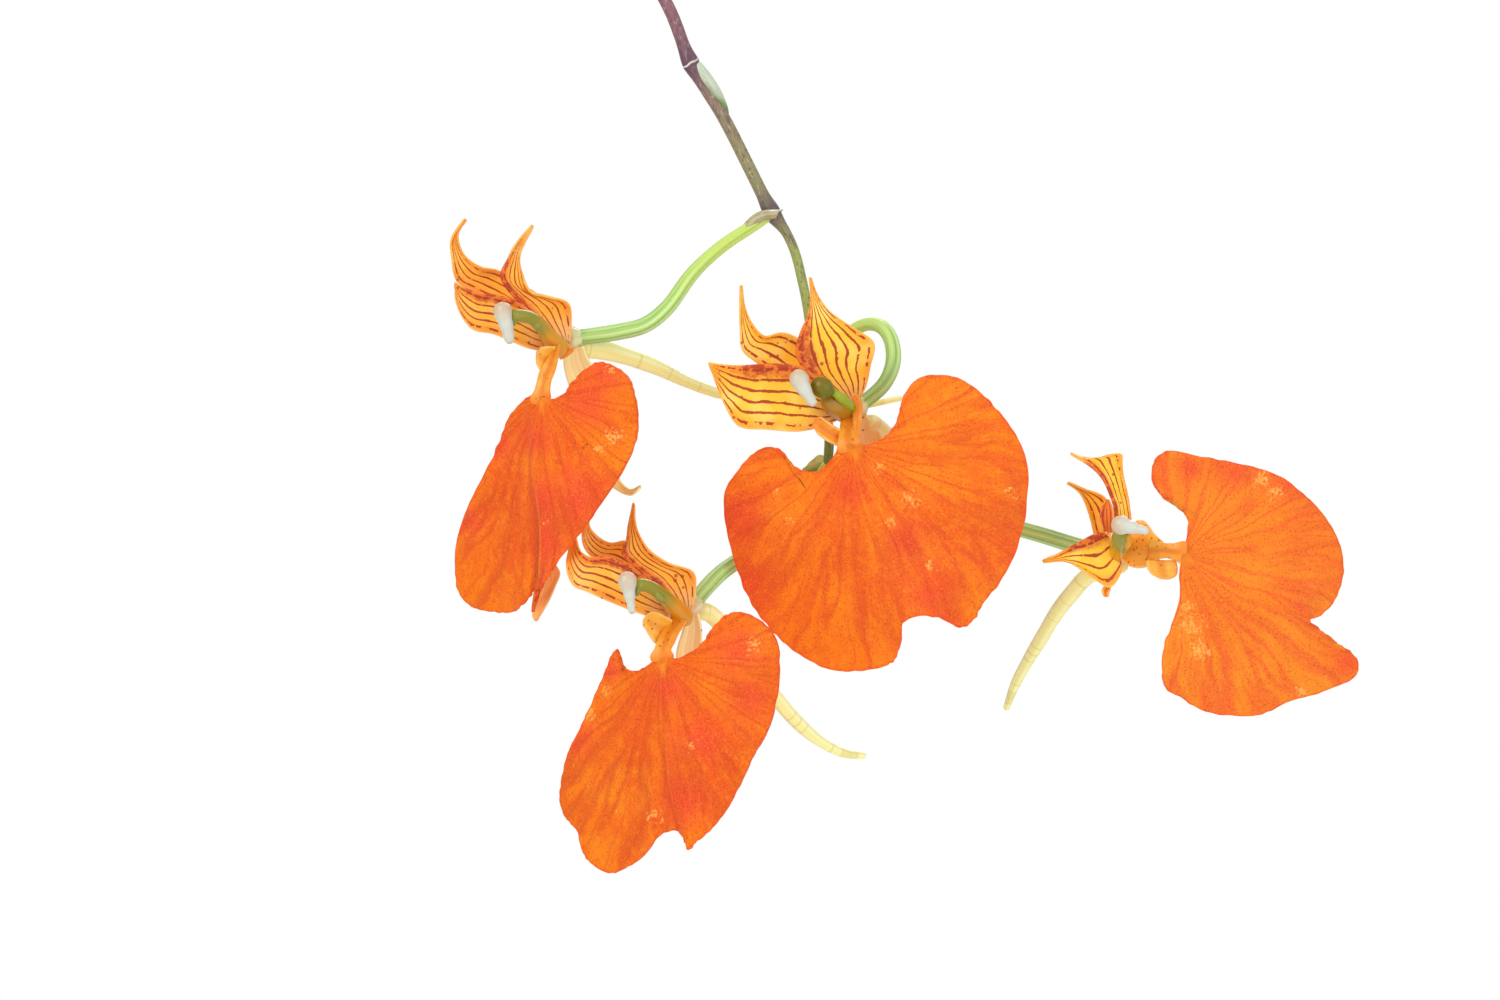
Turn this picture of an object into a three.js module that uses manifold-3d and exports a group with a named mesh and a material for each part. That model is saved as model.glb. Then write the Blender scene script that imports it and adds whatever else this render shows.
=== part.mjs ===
// Potted comparettia speciosa: a small orchid in a terracotta pot of bark, with one arching flower
// spike that carries four orange blooms past the pot's side. Millimetres, +Z up, +X to the right.
// The origin is the middle of the pot's base, and the blooms hang at the right of the pot.

import * as THREE from 'three';
import { mergeVertices } from 'three/addons/utils/BufferGeometryUtils.js';
import Module from 'manifold-3d';

const wasm = await Module();
wasm.setup();

// Driving dimensions
const GAP = 0.3; // clearance between two pieces that touch
const POT_HEIGHT = 90;
const POT_RIM_RADIUS = 52;
const POT_BASE_RADIUS = 36;
const POT_WALL = 4;
const POT_EDGE = 1.5; // bevel on the pot's edges
const RIM_BAND_HEIGHT = 20;
const RIM_BAND_STEP = 2.5;
const DRAIN_HOLE_RADIUS = 4;
const DRAIN_HOLE_RING = 20;
const BARK_TOP = 78;
const BLADE = 0.7; // thickness of petals, sepals and lips
const LEAF_THICKNESS = 1.4;
const BRACT_THICKNESS = 0.6;
const RECEPTACLE_RADIUS = 1.3; // swollen top of each ovary, where the flower's pieces meet
const PEDICEL_RADIUS = 0.78;
const STALK_RADIUS = 0.76;
const RACHIS_RADIUS = 0.58; // the spike below its first flower
const NODE_SWELLING = 0.32;
const LIP_RINGS = 3;

// The front view is 180 mm wide and 120 mm high. Outlines of the blooms are given as they appear
// from the front, in units of 0.12 mm, across to the right and down from the view's top left corner.
// They are seen from 1 m in front, so what lies nearer than the spike is drawn in a little.
const UNIT = 0.12;
const VIEW_MIDDLE_UNITS = { across: 750, down: 500 };
const VIEW_MIDDLE = { x: 175, z: 150 };
const VIEW_DISTANCE = 1000;

function inView(point, depth) {
  const scale = (VIEW_DISTANCE + depth) / VIEW_DISTANCE;
  return new THREE.Vector3(
    VIEW_MIDDLE.x + (point.x - VIEW_MIDDLE.x) * scale,
    depth,
    VIEW_MIDDLE.z + (point.z - VIEW_MIDDLE.z) * scale,
  );
}

function seen([across, down], depth = 0) {
  return inView({
    x: VIEW_MIDDLE.x + (across - VIEW_MIDDLE_UNITS.across) * UNIT,
    z: VIEW_MIDDLE.z - (down - VIEW_MIDDLE_UNITS.down) * UNIT,
  }, depth);
}

// A route is a list of [across, down, depth].
const route = (stops) => stops.map(([across, down, depth]) => seen([across, down], depth));

// Solids and surfaces
function toSolid(geometry) {
  const bare = new THREE.BufferGeometry();
  bare.setAttribute('position', geometry.getAttribute('position').clone());
  if (geometry.index) bare.setIndex(geometry.index.clone());
  const merged = mergeVertices(bare, 1e-4);
  const corners = merged.index.array;
  const kept = [];
  for (let i = 0; i < corners.length; i += 3) {
    const [a, b, c] = [corners[i], corners[i + 1], corners[i + 2]];
    if (a !== b && b !== c && c !== a) kept.push(a, b, c);
  }
  return new wasm.Manifold(new wasm.Mesh({
    numProp: 3,
    vertProperties: new Float32Array(merged.attributes.position.array),
    triVerts: new Uint32Array(kept),
  }));
}

function toGeometry(solid) {
  const mesh = solid.getMesh();
  const geometry = new THREE.BufferGeometry();
  geometry.setAttribute('position', new THREE.BufferAttribute(mesh.vertProperties, 3));
  geometry.setIndex(new THREE.BufferAttribute(mesh.triVerts, 1));
  geometry.computeVertexNormals();
  return geometry;
}

function fuse(solids) {
  return solids.reduce((whole, next) => whole.add(next));
}

// The largest body that is left after a cut: slivers on the far side of a neighbour fall away.
function largest(solid) {
  return solid.decompose().reduce((a, b) => (b.volume() > a.volume() ? b : a));
}

// A thin closed blade from an open surface: both faces are split alike, and a wall closes the edge.
function thicken(points, faces, thickness) {
  const surface = new THREE.BufferGeometry().setFromPoints(points);
  surface.setIndex(faces.flat());
  surface.computeVertexNormals();
  const normals = surface.attributes.normal;
  const count = points.length;
  const positions = [1, -1].flatMap((side) => points.flatMap((point, i) => {
    const normal = new THREE.Vector3().fromBufferAttribute(normals, i);
    return point.clone().addScaledVector(normal, side * thickness / 2).toArray();
  }));
  const directed = new Set();
  const key = (a, b) => a * count + b;
  for (const [a, b, c] of faces) [key(a, b), key(b, c), key(c, a)].forEach((k) => directed.add(k));
  const index = [];
  for (const [a, b, c] of faces) {
    index.push(a, b, c, c + count, b + count, a + count);
    for (const [from, to] of [[a, b], [b, c], [c, a]]) {
      if (directed.has(key(to, from))) continue;
      index.push(to, from, from + count, from + count, to + count, to);
    }
  }
  const blade = new THREE.BufferGeometry();
  blade.setAttribute('position', new THREE.Float32BufferAttribute(positions, 3));
  blade.setIndex(index);
  return toSolid(blade);
}

// The same path with each end drawn out by a distance.
function lengthened(path, distance) {
  const beyond = (end, inner) => {
    const reach = end.clone().sub(inner);
    return end.clone().addScaledVector(reach, distance / reach.length());
  };
  const last = path.length - 1;
  return [beyond(path[0], path[1]), ...path.slice(1, last), beyond(path[last], path[last - 1])];
}

// A stem: a round section drawn along a smooth path, then drawn in to its radius at each step.
function stem(path, radiusAt, { steps, sides = 7, grow = 0 }) {
  const curve = new THREE.CatmullRomCurve3(lengthened(path, grow), false, 'centripetal');
  const corners = Array.from({ length: sides }, (_, i) => {
    const turn = 2 * Math.PI * i / sides;
    return new THREE.Vector2(Math.cos(turn), Math.sin(turn));
  });
  const tube = new THREE.ExtrudeGeometry(new THREE.Shape(corners), {
    steps, bevelEnabled: false, extrudePath: curve,
  });
  const stations = curve.getSpacedPoints(steps);
  const position = tube.attributes.position;
  const corner = new THREE.Vector3();
  for (let i = 0; i < position.count; i += 1) {
    corner.fromBufferAttribute(position, i);
    let nearest = 0;
    stations.forEach((station, k) => {
      if (corner.distanceToSquared(station) < corner.distanceToSquared(stations[nearest])) nearest = k;
    });
    const centre = stations[nearest];
    corner.sub(centre).setLength(radiusAt(nearest / steps) + grow).add(centre);
    position.setXYZ(i, corner.x, corner.y, corner.z);
  }
  return toSolid(tube);
}

// A radius that passes smoothly through the given values, evenly spaced along a stem.
function radii(...values) {
  const last = values.length - 1;
  return (share) => {
    const place = Math.min(share * last, last - 1e-9);
    const i = Math.floor(place);
    const blend = place - i;
    const eased = blend * blend * (3 - 2 * blend);
    return values[i] + (values[i + 1] - values[i]) * eased;
  };
}

function ball(centre, radius) {
  const sphere = new THREE.SphereGeometry(radius, 8, 6);
  sphere.translate(centre.x, centre.y, centre.z);
  return toSolid(sphere);
}

// A blade from base to tip. Each rung is [left edge, right edge, sag]: two points, and the vector
// by which the middle lies off the straight line between them.
function ladder(rungs, { rows, columns = 4, thickness = BLADE, grow = 0 }) {
  const smooth = (path) => new THREE.CatmullRomCurve3(path, false, 'centripetal');
  const [left, right] = [0, 1].map((i) => smooth(lengthened(rungs.map((rung) => rung[i]), grow)));
  const sag = smooth(rungs.map((rung) => rung[2]));
  const points = [];
  for (let row = 0; row <= rows; row += 1) {
    const [a, b, dip] = [left, right, sag].map((curve) => curve.getPoint(row / rows));
    const outward = b.clone().sub(a).setLength(grow);
    a.sub(outward);
    b.add(outward);
    for (let column = 0; column <= columns; column += 1) {
      const share = column / columns;
      points.push(a.clone().lerp(b, share).addScaledVector(dip, 4 * share * (1 - share)));
    }
  }
  const faces = [];
  for (let row = 0; row < rows; row += 1) {
    for (let column = 0; column < columns; column += 1) {
      const a = row * (columns + 1) + column;
      const [b, c, d] = [a + 1, a + columns + 2, a + columns + 1];
      faces.push([a, b, c], [a, c, d]);
    }
  }
  return thicken(points, faces, thickness + 2 * grow);
}

// A petal or sepal seen from the front. Each rung is [left edge, right edge, depth of its middle].
function petal(rungs, { cup = 0.8, rows = 8, columns = 4, grow = 0, thickness = BLADE } = {}) {
  const widest = Math.max(...rungs.map(([a, b]) => seen(a).distanceTo(seen(b))));
  const spread = rungs.map(([a, b, depth]) => {
    const sag = cup * seen(a).distanceTo(seen(b)) / widest;
    return [seen(a, depth - sag), seen(b, depth - sag), new THREE.Vector3(0, sag, 0)];
  });
  return ladder(spread, { rows, columns, thickness, grow });
}

// The broad lip has two lobes. Each lobe's edge is listed from the claw round to the notch, or
// back, about the lobe's own centre. The surface folds along the line from claw to notch.
function lipBlade(lip, grow) {
  const [first, second] = lip.lobes;
  const middle = seen(first.centre).lerp(seen(second.centre), 0.5);
  const edge = [...first.edge, ...second.edge].map((point) => seen(point));
  const outline = new THREE.CatmullRomCurve3(edge, true, 'centripetal');
  const centreAt = (turn) => {
    const place = turn * edge.length;
    const [lobe, start] = place < first.edge.length ? [first, 0] : [second, first.edge.length];
    const share = (place - start) / (lobe.edge.length - 1);
    return middle.clone().lerp(seen(lobe.centre), Math.sin(Math.PI * share));
  };
  const claw = seen(lip.claw);
  const down = seen(lip.notch).sub(claw).normalize();
  const across = new THREE.Vector3(-down.z, 0, down.x);
  const depthAt = (point, share, turn) => {
    const out = point.clone().sub(claw);
    const u = out.dot(across);
    const v = out.dot(down);
    const ridge = Math.hypot(u, lip.crease) - lip.crease;
    const ruffle = lip.ruffle * share ** 3 * Math.sin(lip.waves * turn);
    return lip.depth + lip.lean * v + lip.bow * v * v + lip.turn * u + lip.fold * ridge + ruffle;
  };
  const sectors = edge.length;
  const points = [inView(middle, depthAt(middle, 0, 0))];
  for (let ring = 1; ring <= LIP_RINGS; ring += 1) {
    const share = ring / LIP_RINGS;
    for (let sector = 0; sector < sectors; sector += 1) {
      const turn = sector / sectors;
      const rim = outline.getPoint(turn);
      const centre = centreAt(turn);
      const point = centre.clone().lerp(rim, share);
      if (ring === LIP_RINGS) point.add(rim.clone().sub(centre).setLength(grow));
      points.push(inView(point, depthAt(point, share, 2 * Math.PI * turn)));
    }
  }
  const at = (ring, sector) => 1 + (ring - 1) * sectors + (sector % sectors);
  const faces = [];
  for (let sector = 0; sector < sectors; sector += 1) {
    faces.push([0, at(1, sector), at(1, sector + 1)]);
    for (let ring = 1; ring < LIP_RINGS; ring += 1) {
      const [a, b] = [at(ring, sector), at(ring, sector + 1)];
      const [c, d] = [at(ring + 1, sector + 1), at(ring + 1, sector)];
      faces.push([a, d, c], [a, c, b]);
    }
  }
  return thicken(points, faces, BLADE + 2 * grow);
}

// The flower spike, from the foot of a pseudobulb up, over and down to the last pedicels
const SPIKE_TIP = [828, 466, 2];
const SPIKE_RISE = [
  [13, -16, 76], [14, -17, 100], [15, -15, 150], [24, -11, 200], [48, -6, 243],
  [84, -2, 262], [122, 0, 255], [149, 0, 233],
].map(([x, y, z]) => new THREE.Vector3(x, y, z));
const SPIKE_FALL = route([
  [665, 0, 0], [691, 63, 0], [724, 118, 0], [752, 165, 0], [771, 211, 0], [787, 227, 0],
  [796, 250, 0], [806, 303, 0], [813, 345, 1], [820, 385, 2], [829, 430, 2], SPIKE_TIP,
]);
const SPIKE_NODES = [[691, 63, 0], [771, 211, 0], [820, 387, 2]];
const SPIKE_STEPS = 56;

function spikeRadius(curve) {
  const swellings = route(SPIKE_NODES);
  const thinFrom = swellings[1];
  return (share) => {
    const here = curve.getPointAt(Math.min(share, 1));
    const past = here.x > thinFrom.x && here.z < thinFrom.z;
    const plain = past ? RACHIS_RADIUS : STALK_RADIUS + 0.45 * Math.max(0, 0.5 - share);
    const swell = swellings.reduce((sum, node) => {
      const away = here.distanceTo(node) / (2 * STALK_RADIUS);
      return sum + NODE_SWELLING * Math.exp(-(away ** 2));
    }, 0);
    return plain + swell;
  };
}

function spike(grow = 0) {
  const path = [...SPIKE_RISE, ...SPIKE_FALL];
  const curve = new THREE.CatmullRomCurve3(path, false, 'centripetal');
  return stem(path, spikeRadius(curve), { steps: SPIKE_STEPS, sides: 6, grow });
}

const UPPER_BRACT = [
  [[692, 62], [699, 58], 1.0], [[694, 76], [710, 68], -0.7], [[704, 92], [721, 82], -0.7],
  [[716, 105], [727, 97], -0.2], [[726, 112], [729, 110], 0.3],
];
const NODE_BRACT = [
  [[770, 216], [766, 207], 0.9], [[760, 221], [755, 209], 1.5], [[752, 221], [746, 214], 1.6],
];
const TIP_BRACT = [
  [[826, 463], [834, 474], 3.6], [[817, 455], [825, 476], 4.2], [[808, 458], [813, 476], 4.6],
  [[802, 465], [805, 472], 4.2],
];

// The blooms, left to right and top to bottom: left, centre, lower and right
const BLOOMS = {
  left: {
    heart: [573, 338, -3],
    pedicel: [
      [771, 213, 0], [757, 223, -0.6], [721, 247, -2], [693, 273, -3], [666, 309, -4],
      [645, 325, -4], [618, 332, -3.6], [573, 338, -3],
    ],
    spur: [
      [574, 346, -2], [600, 349, -0.6], [653, 366, 2], [687, 382, 4], [721, 394, 6],
      [780, 405, 7.5], [840, 409, 7.6], [902, 398, 6.6],
    ],
    limb: [
      [[568, 345], [580, 344], -3.2], [[563, 366], [589, 362], -2.2], [[570, 398], [603, 385], -0.4],
      [[583, 432], [612, 420], 0.6], [[597, 462], [614, 455], 0.6], [[608, 483], [619, 478], -1],
      [[630, 496], [630, 489], -2.6], [[641, 487], [640, 485], -4.2],
    ],
    dorsal: [
      [[563, 341], [569, 331], -1.6], [[531, 321], [546, 300], -1.6], [[499, 304], [520, 283], -1.8],
      [[474, 292], [498, 270], -2.1], [[456, 281], [482, 267], -2.5], [[452, 261], [464, 254], -3],
      [[451, 240], [458, 234], -3.6], [[465, 218], [467, 220], -4.6],
    ],
    petalRight: [
      [[561, 341], [570, 342], -4.4], [[541, 326], [572, 322], -5], [[524, 309], [569, 303], -5.4],
      [[507, 290], [549, 297], -5.6], [[500, 274], [532, 293], -5.8], [[507, 259], [523, 274], -5.8],
      [[516, 243], [520, 256], -5.4], [[532, 224], [534, 226], -4.4],
    ],
    petalLeft: [
      [[561, 341], [560, 349], -5.4], [[532, 312], [534, 350], -7], [[510, 298], [512, 342], -7.8],
      [[492, 294], [492, 334], -8], [[478, 292], [473, 330], -8], [[467, 288], [461, 316], -7.6],
      [[460, 285], [455, 298], -7], [[455, 282], [455, 287], -6.4],
    ],
    column: [[566, 341, -4], [553, 331, -6.4], [538, 320, -8.8], [522, 314, -11], [512, 314, -12.2]],
    columnRadii: [0.95, 0.85, 0.95, 0.9, 0.6],
    anther: [[502, 310, -12], [505, 319, -12.4], [511, 341, -12.2]],
    claw: [
      [[563, 345], [573, 349], -5.2], [[549, 366], [560, 369], -8], [[540, 384], [552, 387], -9.8],
      [[534, 396], [551, 399], -10.7], [[533, 408], [550, 410], -10.7],
    ],
    sideLobe: [
      [[553, 350], [556, 368], -8.6], [[545, 347], [549, 371], -9.4], [[537, 349], [541, 366], -9.6],
      [[534, 354], [536, 360], -9.2],
    ],
    lip: {
      claw: [543, 396], notch: [538, 586], depth: -10.7, lean: -0.04, bow: 0.004, turn: -0.85,
      fold: 0.2, crease: 1.6, ruffle: 0.35, waves: 9,
      lobes: [
        {
          centre: [585, 445],
          edge: [
            [552, 399], [564, 394], [575, 380], [587, 368], [600, 362], [614, 366], [628, 377],
            [635, 396], [638, 424], [635, 444], [620, 475], [597, 509], [575, 542], [560, 566],
            [552, 588], [546, 608], [538, 621], [534, 610], [535, 592],
          ],
        },
        {
          centre: [500, 540],
          edge: [
            [533, 582], [528, 595], [516, 610], [498, 612], [474, 607], [460, 593], [456, 568],
            [458, 540], [468, 509], [483, 478], [499, 444], [510, 417], [523, 402], [534, 395],
          ],
        },
      ],
    },
  },
  centre: {
    heart: [857, 408, -5],
    pedicel: [
      [821, 389, 2], [834, 360, 3.4], [852, 332, 3.4], [869, 324, 2], [882, 327, 0.6],
      [891, 340, -0.6], [893, 362, -2], [884, 384, -3.4], [857, 408, -5],
    ],
    spur: [
      [868, 420, -5.2], [880, 429, -2.6], [893, 441, 0.6], [908, 458, 5], [921, 480, 9.6],
      [932, 506, 14], [938, 534, 17.6], [938, 560, 20],
    ],
    limb: [
      [[855, 415], [868, 414], -5.4], [[856, 428], [880, 426], -4.6], [[858, 444], [886, 440], -3.4],
      [[866, 480], [890, 476], -1], [[870, 514], [890, 511], 0.6], [[874, 546], [884, 545], 1],
      [[879, 566], [882, 566], 0],
    ],
    dorsal: [
      [[849, 409], [854, 400], -3.4], [[815, 399], [829, 373], -3.4], [[782, 382], [806, 343], -3.6],
      [[756, 363], [783, 332], -3.8], [[742, 350], [765, 336], -4], [[740, 331], [751, 321], -4.2],
      [[740, 310], [745, 305], -4.8], [[740, 285], [742, 285], -6],
    ],
    petalRight: [
      [[849, 404], [860, 400], -5.8], [[827, 388], [867, 385], -6.8], [[806, 372], [871, 366], -7.4],
      [[795, 355], [875, 343], -7.8], [[799, 334], [853, 327], -7.8], [[807, 316], [830, 311], -7.4],
      [[810, 298], [817, 293], -6.6], [[809, 277], [812, 278], -5.2],
    ],
    petalLeft: [
      [[848, 408], [848, 416], -7.2], [[825, 384], [819, 428], -9], [[801, 366], [797, 432], -9.8],
      [[778, 363], [768, 430], -10], [[757, 364], [739, 427], -10], [[738, 365], [727, 411], -9.6],
      [[722, 364], [718, 390], -9], [[708, 362], [711, 370], -8],
    ],
    column: [[853, 410, -6.8], [844, 402, -9.2], [833, 393, -11.6], [821, 387, -13.4], [811, 384, -14.4]],
    columnRadii: [1.0, 0.95, 1.25, 1.3, 0.8],
    anther: [[799, 379, -14.4], [804, 388, -14.8], [813, 405, -14.6]],
    claw: [
      [[849, 413], [860, 413], -7.6], [[842, 424], [858, 424], -9.6], [[840, 436], [860, 436], -11.4],
      [[832, 450], [868, 448], -12.4], [[838, 464], [864, 462], -12.4],
    ],
    sideLobe: [
      [[846, 420], [846, 436], -10.4], [[834, 417], [838, 443], -10.8], [[821, 420], [827, 440], -11],
      [[813, 425], [816, 431], -10.6],
    ],
    lip: {
      claw: [853, 446], notch: [904, 622], depth: -12.3, lean: 0.06, bow: 0.004, turn: -0.18,
      fold: 0.26, crease: 2, ruffle: 0.4, waves: 10,
      lobes: [
        {
          centre: [940, 490],
          edge: [
            [858, 450], [873, 445], [889, 433], [899, 416], [903, 397], [919, 378], [941, 375],
            [958, 378], [976, 389], [996, 408], [1013, 430], [1024, 452], [1028, 480], [1019, 542],
            [1001, 580], [983, 603], [974, 619], [962, 627], [936, 617], [919, 616],
          ],
        },
        {
          centre: [825, 560],
          edge: [
            [904, 622], [900, 645], [894, 660], [885, 666], [856, 671], [829, 669], [810, 660],
            [790, 647], [769, 627], [750, 600], [736, 564], [727, 529], [725, 491], [736, 473],
            [752, 455], [766, 447], [779, 450], [790, 463], [804, 471], [819, 473], [836, 458],
          ],
        },
      ],
    },
  },
  lower: {
    heart: [692, 606, -7],
    pedicel: [
      [829, 463, 2], [812, 490, 4], [786, 520, 3.4], [758, 546, 2], [736, 562, 0], [721, 573, -2],
      [706, 588, -4.6], [692, 606, -7],
    ],
    spur: [
      [697, 611, -6.4], [709, 613, -5.4], [724, 628, -5], [741, 652, -5], [759, 677, -4.4],
      [776, 698, -3], [795, 720, -1], [818, 740, 1.6], [843, 753, 4.6], [865, 756, 7.6],
    ],
    limb: [
      [[687, 612], [698, 611], -7.2], [[682, 632], [702, 630], -6.8], [[676, 656], [702, 650], -6],
      [[682, 690], [706, 684], -4.6], [[692, 722], [709, 717], -3.6], [[704, 750], [711, 747], -3.6],
      [[715, 766], [717, 764], -4.6],
    ],
    dorsal: [
      [[684, 606], [689, 598], -5.6], [[656, 590], [669, 574], -5.6], [[630, 574], [647, 556], -5.8],
      [[608, 563], [628, 541], -6], [[593, 558], [612, 543], -6.4], [[584, 547], [600, 538], -6.8],
      [[582, 533], [591, 529], -7.4], [[586, 520], [589, 521], -8.4],
    ],
    petalRight: [
      [[683, 609], [692, 613], -8.2], [[668, 597], [696, 592], -9], [[651, 582], [694, 572], -9.4],
      [[633, 566], [669, 563], -9.6], [[621, 552], [650, 550], -9.8], [[626, 541], [639, 533], -9.6],
      [[628, 524], [635, 519], -9], [[633, 502], [635, 504], -8],
    ],
    petalLeft: [
      [[682, 610], [681, 617], -9.4], [[656, 587], [652, 617], -11.2], [[636, 570], [629, 610], -12],
      [[618, 559], [607, 601], -12.2], [[604, 556], [587, 592], -12.2], [[591, 557], [573, 586], -11.8],
      [[581, 551], [566, 566], -11.2], [[576, 537], [569, 545], -10.2],
    ],
    column: [[686, 610, -8.6], [673, 602, -10.8], [659, 592, -13], [645, 585, -15], [635, 584, -16.2]],
    columnRadii: [0.95, 0.9, 1.05, 1.0, 0.65],
    anther: [[626, 582, -16.2], [629, 591, -16.6], [632, 612, -16.4]],
    claw: [
      [[685, 613], [694, 618], -9.4], [[671, 632], [682, 636], -12], [[661, 648], [674, 651], -13.8],
      [[648, 661], [681, 658], -14.6], [[651, 674], [676, 673], -14.6],
    ],
    sideLobe: [
      [[673, 614], [666, 641], -12.4], [[661, 612], [657, 643], -12.8], [[648, 614], [648, 634], -13],
      [[643, 619], [643, 626], -12.6],
    ],
    lip: {
      claw: [663, 659], notch: [676, 832], depth: -14.6, lean: -0.03, bow: 0.004, turn: -0.7,
      fold: 0.16, crease: 1.8, ruffle: 0.35, waves: 9,
      lobes: [
        {
          centre: [706, 725],
          edge: [
            [668, 658], [678, 658], [690, 653], [703, 643], [713, 628], [726, 615], [739, 612],
            [759, 620], [773, 634], [779, 652], [778, 692], [769, 727], [754, 755], [741, 783],
            [726, 811], [709, 832], [696, 842], [689, 850], [683, 836],
          ],
        },
        {
          centre: [620, 770],
          edge: [
            [678, 831], [662, 834], [640, 859], [624, 869], [611, 873], [593, 864], [583, 851],
            [578, 831], [569, 821], [561, 803], [562, 781], [568, 755], [581, 727], [594, 700],
            [605, 674], [611, 658], [617, 649], [623, 665], [630, 671], [642, 669], [654, 661],
          ],
        },
      ],
    },
  },
  right: {
    heart: [1108, 552, -3],
    pedicel: [
      [829, 465, 2], [850, 483, 4.4], [885, 497, 5], [940, 509, 4.4], [990, 521, 2.6],
      [1024, 530, 1], [1045, 536, 0], [1078, 546, -1.4], [1108, 552, -3],
    ],
    spur: [
      [1128, 562, -1.9], [1109, 568, -1], [1088, 576, -0.2], [1072, 593, 1.4], [1057, 612, 3.6],
      [1042, 637, 6.6], [1027, 662, 10], [1015, 685, 14], [1006, 709, 18.6],
    ],
    limb: [
      [[1114, 558], [1110, 546], -2], [[1136, 572], [1137, 552], -1.8], [[1164, 580], [1168, 556], -2.6],
      [[1198, 584], [1200, 560], -3.6], [[1230, 582], [1232, 566], -4], [[1258, 577], [1259, 571], -3.4],
    ],
    dorsal: [
      [[1106, 556], [1108, 546], -1.4], [[1094, 535], [1113, 516], -0.6], [[1090, 518], [1107, 499], 0],
      [[1084, 501], [1097, 493], 0], [[1078, 491], [1084, 489], -0.4], [[1067, 484], [1068, 482], -1.4],
    ],
    petalRight: [
      [[1108, 545], [1117, 546], -4.2], [[1114, 529], [1131, 527], -5], [[1114, 509], [1130, 507], -5.6],
      [[1109, 494], [1127, 491], -6], [[1102, 479], [1124, 476], -6.2], [[1094, 470], [1122, 464], -6.4],
      [[1086, 464], [1119, 455], -6.2], [[1079, 459], [1098, 458], -5.8], [[1070, 453], [1074, 456], -5],
    ],
    petalLeft: [
      [[1111, 549], [1118, 556], -4.6], [[1103, 531], [1122, 571], -5.8], [[1091, 535], [1110, 588], -6.2],
      [[1080, 541], [1094, 579], -6.4], [[1067, 548], [1080, 569], -6.4], [[1055, 555], [1065, 562], -6],
      [[1042, 560], [1043, 563], -5.2],
    ],
    column: [[1113, 551, -4.4], [1117, 544, -7], [1119, 537, -9.6], [1122, 530, -12]],
    columnRadii: [1.0, 1.0, 1.1, 0.8],
    anther: [[1122, 524, -12.4], [1131, 528, -12.9], [1147, 532, -12.6]],
    claw: [
      [[1117, 561], [1118, 549], -4.8], [[1140, 561], [1138, 543], -7.4], [[1162, 560], [1160, 543], -9.2],
      [[1182, 571], [1183, 541], -10.2], [[1196, 567], [1197, 547], -10.4],
    ],
    sideLobe: [
      [[1160, 556], [1136, 556], -8], [[1174, 566], [1138, 568], -8.2], [[1178, 575], [1147, 577], -8],
      [[1170, 580], [1158, 580], -7.6],
    ],
    lip: {
      claw: [1181, 556], notch: [1308, 621], depth: -10.2, lean: 0.3, bow: 0.004, turn: 0.12,
      fold: 0.42, crease: 2, ruffle: 0.4, waves: 9,
      lobes: [
        {
          centre: [1250, 520],
          edge: [
            [1184, 549], [1188, 533], [1187, 517], [1176, 505], [1163, 496], [1154, 484],
            [1152, 469], [1157, 457], [1168, 451], [1201, 457], [1229, 462], [1259, 469],
            [1278, 476], [1298, 490], [1314, 505], [1329, 524], [1339, 545], [1343, 568],
            [1340, 586], [1333, 602], [1321, 615],
          ],
        },
        {
          centre: [1232, 640],
          edge: [
            [1309, 621], [1323, 632], [1339, 645], [1352, 654], [1358, 665], [1355, 676],
            [1338, 685], [1313, 694], [1288, 701], [1269, 711], [1249, 716], [1214, 713],
            [1194, 706], [1179, 696], [1166, 689], [1162, 671], [1164, 646], [1174, 619],
            [1180, 597], [1180, 572],
          ],
        },
      ],
    },
  },
};

// A spur narrows from its mouth to its tip.
const SPUR_RADII = {
  left: [0.95, 0.75, 0.6, 0.38],
  centre: [1.05, 0.8, 0.6, 0.4],
  lower: [1.15, 0.9, 0.72, 0.4],
  right: [1.0, 0.85, 0.65, 0.4],
};

// Each bloom's pieces, inner ones first: every later piece is cut back clear of the earlier ones.
function bloomPieces(side) {
  const bloom = BLOOMS[side];
  const heart = route([bloom.heart])[0];
  const flesh = radii(0.7, PEDICEL_RADIUS, PEDICEL_RADIUS, PEDICEL_RADIUS + 0.1, 0.95);
  return {
    pedicel: (grow) => fuse([
      stem(route(bloom.pedicel), flesh, { steps: 14, sides: 6, grow }),
      ball(heart, RECEPTACLE_RADIUS + grow),
    ]),
    column: (grow) => stem(route(bloom.column), radii(...bloom.columnRadii), { steps: 6, grow }),
    anther_cap: (grow) => stem(
      route(bloom.anther), radii(0.7, 1.12, 0.85, 0.5, 0.3), { steps: 6, grow },
    ),
    lip: (grow) => fuse([
      petal(bloom.claw, { cup: 0.3, rows: 8, columns: 2, thickness: 1.1, grow }),
      petal(bloom.sideLobe, { cup: 0.4, rows: 4, columns: 2, grow }),
      lipBlade(bloom.lip, grow),
    ]),
    petal_right: (grow) => petal(bloom.petalRight, { grow }),
    petal_left: (grow) => petal(bloom.petalLeft, { grow }),
    dorsal_sepal: (grow) => petal(bloom.dorsal, { grow }),
    synsepal: (grow) => fuse([
      petal(bloom.limb, { cup: 0.7, rows: 8, columns: 2, grow }),
      stem(route(bloom.spur), radii(...SPUR_RADII[side]), { steps: 14, sides: 6, grow }),
    ]),
  };
}

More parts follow.
